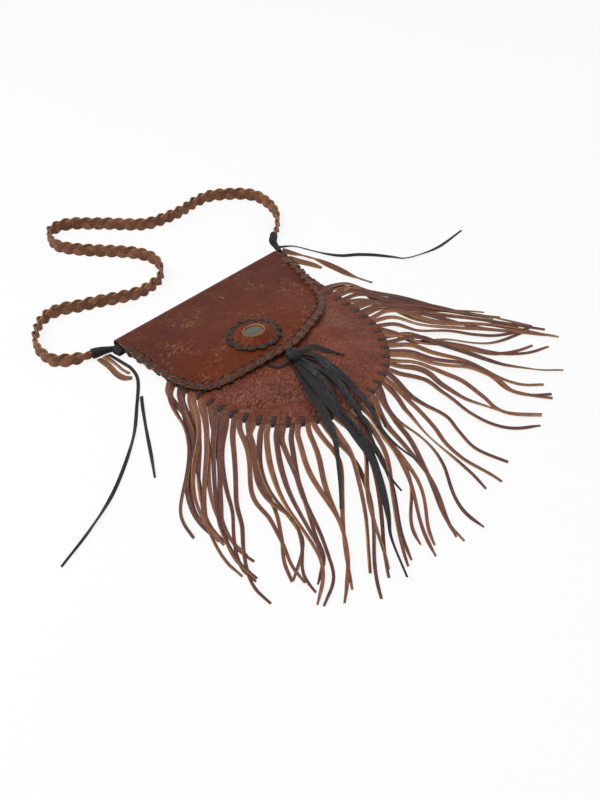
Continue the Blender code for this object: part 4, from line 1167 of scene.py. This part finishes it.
class BAG_OT_rosette(bpy.types.Operator):
    """Rosette on the flap: a domed disc laced round its edge, with an oval mirror"""

    bl_idname = "bag.rosette"
    bl_label = "Rosette"

    def execute(self, context):
        self.disc()
        self.mirror()
        self.mirror_ring()
        self.rim_rope()
        make_lacing("rosette_lacing", self.stitch_places(), self.edge_frame, ROSETTE_SLANT, ROSETTE_INSET,
                    self.seat, lambda x, y: self.seat(x, y) + LEATHER, "flap", "rosette_lace", "faded_lace")
        return {"FINISHED"}

    def seat(self, x, y):
        """Underside of the disc, over the flap."""
        return flap_middle(x, y) + LEATHER / 2 + ROSETTE_LIFT

    def over_seat(self, plan, height):
        """A point at a height over the top of the flat disc."""
        return Vector((*plan, self.seat(*plan) + LEATHER + height))

    def stitch_places(self):
        """Distances of the stitches round the disc's edge."""
        run = 2 * math.pi * ROSETTE_RADIUS
        return [run * (index + 0.5) / ROSETTE_STITCHES for index in range(ROSETTE_STITCHES)]

    def edge_frame(self, s):
        """Place, outward direction and forward direction at distance s round the disc's edge."""
        outward = ray(s / ROSETTE_RADIUS)
        return ROSETTE_CENTRE + ROSETTE_RADIUS * outward, outward, -right_of(outward)

    def on_oval(self, angle, inset, share=1.0):
        """A place on the mirror's oval, drawn in by an inset and then shrunk."""
        x, y = ray(angle)
        return ROSETTE_CENTRE + share * Vector(((MIRROR_HALF_LENGTH - inset) * x, (MIRROR_HALF_WIDTH - inset) * y))

    def rim_rope(self):
        """The lace between two stitches follows the scallops of the rim."""
        shape = Shape()
        points, ups = [], []
        for angle in turns_of(ROPE_POINTS):
            radius = ROSETTE_RADIUS - 0.0006 + ROPE_SCALLOP * math.cos(ROSETTE_LOBES * angle)
            wave = ROPE_WAVE * math.cos(ROSETTE_LOBES * angle + 1.0)
            points.append(self.over_seat(ROSETTE_CENTRE + radius * ray(angle), 0.0002 + wave))
            ups.append(Vector((*(0.7 * ray(angle)), 1.0)).normalized())
        shape.sweep(points, ups, ROPE_WIDTH, ROPE_THICKNESS, tones=0.3, closed=True, cup=-0.15)
        shape.piece("rosette_rope", ["faded_lace"], "flap", "rosette_lace")

    def ring_radius(self, angle, share):
        """Rings go from the mirror's oval edge to the scalloped rim."""
        oval = MIRROR_HALF_LENGTH * MIRROR_HALF_WIDTH / math.hypot(
            MIRROR_HALF_WIDTH * math.cos(angle), MIRROR_HALF_LENGTH * math.sin(angle))
        rim = ROSETTE_RADIUS - 0.0004 + ROSETTE_SCALLOP * math.cos(ROSETTE_LOBES * angle)
        return mix(oval - MIRROR_OVERLAP, rim, share)

    def disc(self):
        shape = Shape()
        rings = []
        for share in ROSETTE_RINGS:
            dome = ROSETTE_DOME * (1 - smoothstep((share - 0.10) / 0.66))
            lip = ROSETTE_LIP * smoothstep(share / 0.16) * (1 - smoothstep((share - 0.24) / 0.45))
            ring = []
            for angle in turns_of(ROSETTE_SPOKES):
                plan = ROSETTE_CENTRE + self.ring_radius(angle, share) * ray(angle)
                curl = ROSETTE_CURL * math.cos(ROSETTE_LOBES * angle) * smoothstep((share - 0.7) / 0.3)
                place = self.over_seat(plan, dome * 0.92 + lip + curl)
                lay = (plan.x * 1.7, plan.y * 1.7 - 0.02, 0.3)
                ring.append(shape.point(place, lay, 1.0, 0.5 * (share > 0.9)))
            rings.append(ring)
        for inner, outer in zip(rings, rings[1:]):
            shape.band(inner, outer)
        floor = []
        for ring in (rings[-1], rings[0]):
            feet = [Vector((v.co.x, v.co.y, self.seat(v.co.x, v.co.y) - 0.0004)) for v in ring]
            floor.append([shape.point(foot, foot, 0.8) for foot in feet])
        shape.band(rings[-1], floor[0], 1)
        shape.band(floor[1], rings[0], 1)
        shape.band(floor[0], floor[1])
        shape.piece("rosette", ["domed_disc", "cut_edge"], "flap", "rosette_disc")

    def mirror(self):
        shape = Shape()
        rings = []
        for share, drop in MIRROR_RINGS:
            ring = []
            for angle in turns_of(MIRROR_SPOKES):
                plan = self.on_oval(angle, MIRROR_OVERLAP, share)
                ring.append(shape.point(self.over_seat(plan, ROSETTE_DOME * 0.84 - drop), (*plan, 0.0)))
            rings.append(ring)
        shape.bm.faces.new(list(reversed(rings[0])))
        for outer, inner in zip(rings, rings[1:]):
            shape.band(inner, outer)
        shape.bm.faces.new(rings[-1])
        shape.piece("mirror_oval", ["old_mirror"], "flap", "mirror")

    def mirror_ring(self):
        """The pale cut edge of the disc's opening, round the mirror."""
        shape = Shape()
        angles = turns_of(MIRROR_SPOKES)
        points = [self.over_seat(self.on_oval(angle, MIRROR_OVERLAP / 2), ROSETTE_DOME * 0.92) for angle in angles]
        ups = [Vector((*(0.4 * ray(angle)), 1.0)).normalized() for angle in angles]
        shape.sweep(points, ups, widths=0.0012, thicknesses=0.0011, tones=1.0, closed=True)
        shape.piece("mirror_ring", ["cut_edge"], "flap", "rosette_disc")


class BAG_OT_tassel(bpy.types.Operator):
    """Tassel of dark thongs, tied with a knot at the flap's tip"""

    bl_idname = "bag.tassel"
    bl_label = "Tassel"

    def execute(self, context):
        height = front_bottom(*KNOT_CENTRE) + LEATHER + THONG_FLOAT + KNOT_HALF_SIZE.z
        self.knot(Vector((*KNOT_CENTRE, height)))
        for number, thong in enumerate(THONGS, 1):
            self.thong(number, *thong)
        self.lace(height)
        return {"FINISHED"}

    def knot(self, centre):
        """Turns of wide thong pulled tight over each other."""
        rng = random.Random(4)
        shape = Shape()
        for vertex in bmesh.ops.create_icosphere(shape.bm, subdivisions=3, radius=1.0)["verts"]:
            lump = 0.80 + 0.10 * noise.noise(vertex.co * 2.3)
            vertex.co = centre + vertex.co * KNOT_HALF_SIZE * lump
            shape.mark(vertex, vertex.co)
        for order, (axis, grow) in enumerate(KNOT_TURNS):
            turn = UP.rotation_difference(Vector(axis)).to_matrix()
            arms = [turn @ Vector((*ray(angle), 0.18 * math.sin(2 * angle + order))) for angle in turns_of(36)]
            points = [centre + arm * KNOT_HALF_SIZE * grow * 0.90 for arm in arms]
            shape.sweep(points, [arm.normalized() for arm in arms], rng.uniform(0.0040, 0.0062), 0.0012, 0.8,
                        seed=0.2 * order, closed=True, cup=-0.18)
        shape.piece("knot", ["dyed_lace"], "flap", "tassel_knot")

    def thong(self, number, width, root_layer, tip_layer, route):
        """One thong, laid over what is under it and rolled now and then, narrowing to its tip."""
        rng = random.Random(99 + number)
        path = Path(smooth_curve([KNOT_CENTRE + point for point in metres(route)]))
        shape = Shape()
        samples = max(24, round(path.length / 0.0032))
        roll_turns = rng.uniform(0.7, 1.3) * path.length / ROLL_PITCH
        roll_size = rng.uniform(0.35, 0.75)
        phase = rng.random()
        points, ups, widths = [], [], []
        for step in range(samples):
            t = step / (samples - 1)
            plan = path.at(t * path.length)
            side = right_of(path.tangent(t * path.length, RIBBON_REACH))
            full = mix(THONG_ROOT_WIDTH, 0.95 * width, smoothstep(t / 0.20))
            taper = mix(full, THONG_TIP_WIDTH, smoothstep((t - 0.28) / 0.72))
            taper *= 1 + 0.14 * math.sin(2 * math.pi * (roll_turns * 1.7 * t + phase))
            angle = roll_size * math.sin(2 * math.pi * (roll_turns * t + phase)) * smoothstep(t / 0.2)
            angle *= 1 - 0.6 * smoothstep((width - 0.006) / 0.006)
            lift = abs(math.sin(angle)) * taper / 2
            under = max(drape_height(*(plan + side * (k * taper / 2))) for k in (-1, 0, 1))
            layer = mix(root_layer, tip_layer, smoothstep(t)) * THONG_LAYER
            points.append(Vector((*plan, under + THONG_FLOAT + 0.0005 + lift + layer)))
            ups.append(leaning(side, angle))
            widths.append(taper)
        shape.sweep(points, ups, widths, THONG_THICKNESS, rng.random(), seed=0.31 * (number - 1),
                    cup=0.20 * rng.choice((-1, 1)))
        shape.piece(f"thong_{number:02d}", ["dyed_lace"], "flap", f"tassel_thong_{number:02d}")

    def lace(self, knot_height):
        """The lace that comes from under the flap and rises to the knot."""
        path = Path(smooth_curve([KNOT_CENTRE + point for point in metres(TASSEL_LACE_ROUTE)]))
        shape = Shape()
        points = [Vector((*p, front_bottom(*p) + LEATHER + 0.0011)) for p in path.even(20)]
        for step in range(6):
            points[-1 - step].z = mix(knot_height, points[-1 - step].z, smoothstep(step / 6))
        shape.sweep(points, per_point(UP, len(points)), widths=0.0030, thicknesses=0.0010, cup=-0.08)
        shape.piece("tie_lace", ["dyed_lace"], "flap", "tassel_lace")


class BAG_OT_strap(bpy.types.Operator):
    """Shoulder strap: a flat braid of three strips that stands on its edge"""

    bl_idname = "bag.strap"
    bl_label = "Strap"

    def execute(self, context):
        path = Path(smooth_curve(metres(STRAP_ROUTE), 12))
        shape = Shape()
        for strand in range(STRANDS):
            self.strand(shape, strand, path)
        piece = shape.piece("strap_braid", ["strap_grain", "cut_edge"], "pouch", "strap")
        route = [Vector((*p, STRAP_HEIGHT)) for p in path.even(160)]
        lashings = [self.lashing(name, metres(stations)) for name, stations in LASHINGS.items()]
        self.corner_loops()
        return {"FINISHED"}

    def strand(self, shape, strand, path):
        """One strand: it climbs and sinks across the strap's width and passes before and behind the others."""
        sizes = bpy.context.scene.bag_sizes
        samples = round(path.length / 0.0020)
        points, ups, widths, tones = [], [], [], []
        for step in range(samples + 1):
            s = path.length * step / samples
            side = right_of(path.tangent(s, RIBBON_REACH))
            turn = 2 * math.pi * (s / sizes.braid_pitch + strand / STRANDS)
            ends = min(smoothstep((s + 0.004) / 0.030), smoothstep((path.length + 0.004 - s) / 0.030))
            swing = math.sin(turn)
            climb = STRAND_CLIMB * ends * math.tanh(1.7 * swing) / math.tanh(1.7)
            depth = STRAND_DEPTH * mix(0.7, 1.0, ends) * math.sin(2 * turn)
            points.append(Vector((*(path.at(s) + side * depth), STRAP_HEIGHT + climb)))
            ups.append(Vector((*side, -0.22 * swing * math.sin(2 * turn))).normalized())
            narrow = 0.82 + 0.18 * swing * swing
            widths.append(sizes.braid_strand_width * mix(0.62, 1.0, ends) * narrow)
            tones.append(0.45 + 0.30 * math.sin(turn * 0.37 + strand * 2.1))
        shape.sweep(points, ups, widths, STRAND_THICKNESS, tones, seed=0.4 * strand, edge_index=1,
                    cut_sides=(3, 7), cup=-0.05)

    def lashing(self, name, stations):
        """Flat lace wound round the strap's end, then led in two runs to the corner loop."""
        rng = random.Random(name)
        path = Path(smooth_curve([station[:3] for station in stations]))
        shape = Shape()
        wound = min(path.length - 0.002, 0.028)
        samples = 150
        points, ups = [], []
        for step in range(samples):
            t = step / (samples - 1)
            s = wound * t - 0.004
            centre = path.at(s) if s > 0 else path.at(0) + path.tangent(0.001) * s
            tangent = path.tangent(max(s, 0.001))
            level = self.level(tangent)
            upright = level.cross(tangent)
            radius = mix(0.0050, 0.0027, smoothstep(t / 0.8))
            x, y = ray(2 * math.pi * LASHING_TURNS * t)
            points.append(centre + (level * x * 0.80 + upright * y * 1.10) * radius)
            ups.append((level * x + upright * y).normalized())
        shape.sweep(points, ups, widths=0.0040, thicknesses=0.0009, cup=-0.06)
        samples = 40
        for offset in (-0.55, 0.55):
            points, ups = [], []
            for step in range(samples):
                t = step / (samples - 1)
                level = self.level(path.tangent(t * path.length))
                index = min(t * (len(stations) - 1), len(stations) - 1.001)
                low = int(index)
                radius = mix(stations[low][3], stations[low + 1][3], index - low)
                swing = math.sin(2 * math.pi * (0.7 * t + offset))
                aside = level * offset * radius * 0.8
                points.append(path.at(t * path.length) + aside + UP * 0.0006 * swing)
                ups.append((UP + level * 0.5 * swing).normalized())
            shape.sweep(points, ups, widths=0.0044, thicknesses=0.0012, seed=rng.random(), cup=0.06)
        return shape.piece(f"{name}_wraps", ["dyed_lace"], "pouch", name)

    def level(self, tangent):
        """The level way across a run."""
        return Vector((*right_of(tangent), 0.0)).normalized()

    def corner_loops(self):
        """Turns of lace through each top corner, which the lashings are tied to."""
        for name, at in (("corner_loop_left", CORNER_LOOP_AT), ("corner_loop_right", SEAM_RUN - CORNER_LOOP_AT)):
            shape = Shape()
            for shift, grow in ((-0.0038, 0.0), (0.0, 0.0004), (0.0038, 0.0)):
                plan, outward, _ = seam_frame(at + shift)
                middle = plan - outward * (SEAM_INSET - CORNER_LOOP_REACH) / 2
                half = (SEAM_INSET + CORNER_LOOP_REACH) / 2 + 0.0004 + grow
                points, ups = [], []
                for x, y in map(ray, turns_of(32)):
                    across = math.copysign(abs(x) ** 0.6, x)
                    rise = math.copysign(abs(y) ** 0.7, y)
                    points.append(Vector((*(middle + outward * half * across), 0.0033 + (0.0028 + grow) * rise)))
                    ups.append(Vector((*(outward * x), y * 1.5)).normalized())
                shape.sweep(points, ups, widths=0.0040, thicknesses=0.0010, closed=True, cup=-0.10)
            shape.piece(f"{name}_turns", ["dyed_lace"], "pouch", name)


class BAG_OT_loose_ends(bpy.types.Operator):
    """Loose ends of dark lace and the unbraided ends of the strap's strands"""

    bl_idname = "bag.loose_ends"
    bl_label = "Loose ends"

    def execute(self, context):
        for name, route in LACE_TAILS.items():
            self.tail(name, route, ["dyed_lace"], width=0.0034, thickness=0.0013, height=0.0017)
        for name, route in STRAND_TAILS.items():
            self.tail(name, route, ["strap_grain", "cut_edge"], width=0.0060, thickness=0.0018, height=0.0026)
        return {"FINISHED"}

    def tail(self, name, route, materials, width, thickness, height):
        rng = random.Random(name)
        path = Path(smooth_curve(metres(route), 12))
        samples = max(24, round(path.length / 0.0025))
        phase = rng.random()
        turns = rng.uniform(1.0, 2.2) * path.length / ROLL_PITCH
        roll = rng.uniform(0.5, 0.9)
        shape = Shape()
        points, ups, widths = [], [], []
        for step in range(samples + 1):
            t = step / samples
            side = right_of(path.tangent(t * path.length, RIBBON_REACH))
            points.append(Vector((*path.at(t * path.length), height + GAP)))
            ups.append(leaning(side, roll * math.sin(2 * math.pi * (turns * t + phase))))
            widths.append(width * mix(1.0, 0.62, smoothstep((t - 0.75) / 0.25)))
        edge = len(materials) - 1
        shape.sweep(points, ups, widths, thickness, rng.random(), seed=rng.random(), edge_index=edge,
                    under_index=edge)
        piece = shape.piece(f"{name}_end", materials, "pouch", name)


def seen_rays(tree):
    """1 for what the camera sees straight, mirrored or through glass, and 0 for the light on the bag."""
    camera, glossy, through = (node(tree, "ShaderNodeLightPath", {}, {}, f"Is {kind} Ray")
                               for kind in ("Camera", "Glossy", "Transmission"))
    return (camera + glossy + through).clipped()


class BAG_OT_stage(bpy.types.Operator):
    """Pale floor, soft light and the camera"""

    bl_idname = "bag.stage"
    bl_label = "Stage"

    def execute(self, context):
        self.floor(context)
        self.world(context)
        self.lamp("key", (-0.9, 0.2, 1.5), size=0.9, power=17.0)
        self.lamp("fill", (0.9, -0.9, 1.2), size=1.4, power=6.0)
        self.lamp("rear", (-0.7, 1.2, 1.0), size=0.9, power=6.0)
        self.camera(context)
        return {"FINISHED"}

    def put(self, name, data, place=(0.0, 0.0, 0.0), target=None):
        """Add something to the scene, turned so that it looks at the target."""
        thing = bpy.data.objects.new(name, data)
        bpy.context.scene.collection.objects.link(thing)
        thing.location = place
        if target:
            thing.rotation_euler = (Vector(target) - Vector(place)).to_track_quat("-Z", "Y").to_euler()
        return thing

    def floor(self, context):
        bm = bmesh.new()
        bmesh.ops.create_grid(bm, x_segments=1, y_segments=1, size=6.0)
        mesh = bpy.data.meshes.new("floor")
        bm.to_mesh(mesh)
        bm.free()
        material = bpy.data.materials.new("floor")
        material.use_nodes = True
        tree = material.node_tree
        tree.nodes.clear()
        matt = node(tree, "ShaderNodeBsdfDiffuse", {}, {"Color": (*context.scene.bag_colours.floor, 1.0)})
        glow = node(tree, "ShaderNodeEmission", {}, {"Color": WHITE, "Strength": 1.0})
        both = node(tree, "ShaderNodeMixShader", {}, {0: seen_rays(tree) * 0.86, 1: matt, 2: glow})
        node(tree, "ShaderNodeOutputMaterial", {}, {"Surface": both}, output=None)
        mesh.materials.append(material)
        self.put("floor", mesh)

    def world(self, context):
        world = bpy.data.worlds.new("studio")
        context.scene.world = world
        world.use_nodes = True
        tree = world.node_tree
        tree.nodes.clear()
        strength = 0.38 + seen_rays(tree) * 0.62
        light = node(tree, "ShaderNodeBackground", {}, {"Color": WHITE, "Strength": strength})
        node(tree, "ShaderNodeOutputWorld", {}, {"Surface": light}, output=None)

    def lamp(self, name, place, size, power):
        light = bpy.data.lights.new(name, "AREA")
        light.shape = "DISK"
        light.size = size
        light.energy = power
        self.put(name, light, place, (0.0, 0.0, 0.0))

    def camera(self, context):
        view = bpy.data.cameras.new("camera")
        view.lens = CAMERA_LENS
        view.sensor_width = SENSOR
        view.clip_end = 50.0
        context.scene.camera = self.put("camera", view, CAMERA_AT, CAMERA_TARGET)
        context.scene.view_settings.view_transform = "Standard"


class BAG_PT_panel(bpy.types.Panel):
    """Bag pieces, sizes and colours"""

    bl_idname = "BAG_PT_panel"
    bl_label = "Fringed Leather Bag"
    bl_space_type = "VIEW_3D"
    bl_region_type = "UI"
    bl_category = "Bag"

    def draw(self, context):
        for name in PIECE_ORDER:
            self.layout.operator(f"bag.{name}")
        for group in (context.scene.bag_sizes, context.scene.bag_colours):
            box = self.layout.box()
            for name in group.bl_rna.properties.keys():
                if name not in ("rna_type", "name"):
                    box.prop(group, name)


PIECE_ORDER = ["stage", "strap", "loose_ends", "cover", "front_panel", "lacing", "fringe", "rosette", "tassel"]
CLASSES = (
    BagSizes, BagColours, BAG_OT_stage, BAG_OT_strap, BAG_OT_loose_ends, BAG_OT_cover, BAG_OT_front_panel,
    BAG_OT_lacing, BAG_OT_fringe, BAG_OT_rosette, BAG_OT_tassel, BAG_PT_panel,
)


def register():
    for cls in CLASSES:
        bpy.utils.register_class(cls)
    bpy.types.Scene.bag_sizes = bpy.props.PointerProperty(type=BagSizes)
    bpy.types.Scene.bag_colours = bpy.props.PointerProperty(type=BagColours)


def unregister():
    del bpy.types.Scene.bag_colours
    del bpy.types.Scene.bag_sizes
    for cls in reversed(CLASSES):
        bpy.utils.unregister_class(cls)


def main():
    register()
    for name in PIECE_ORDER:
        getattr(bpy.ops.bag, name)()
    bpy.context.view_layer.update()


if __name__ == "__main__":
    main()
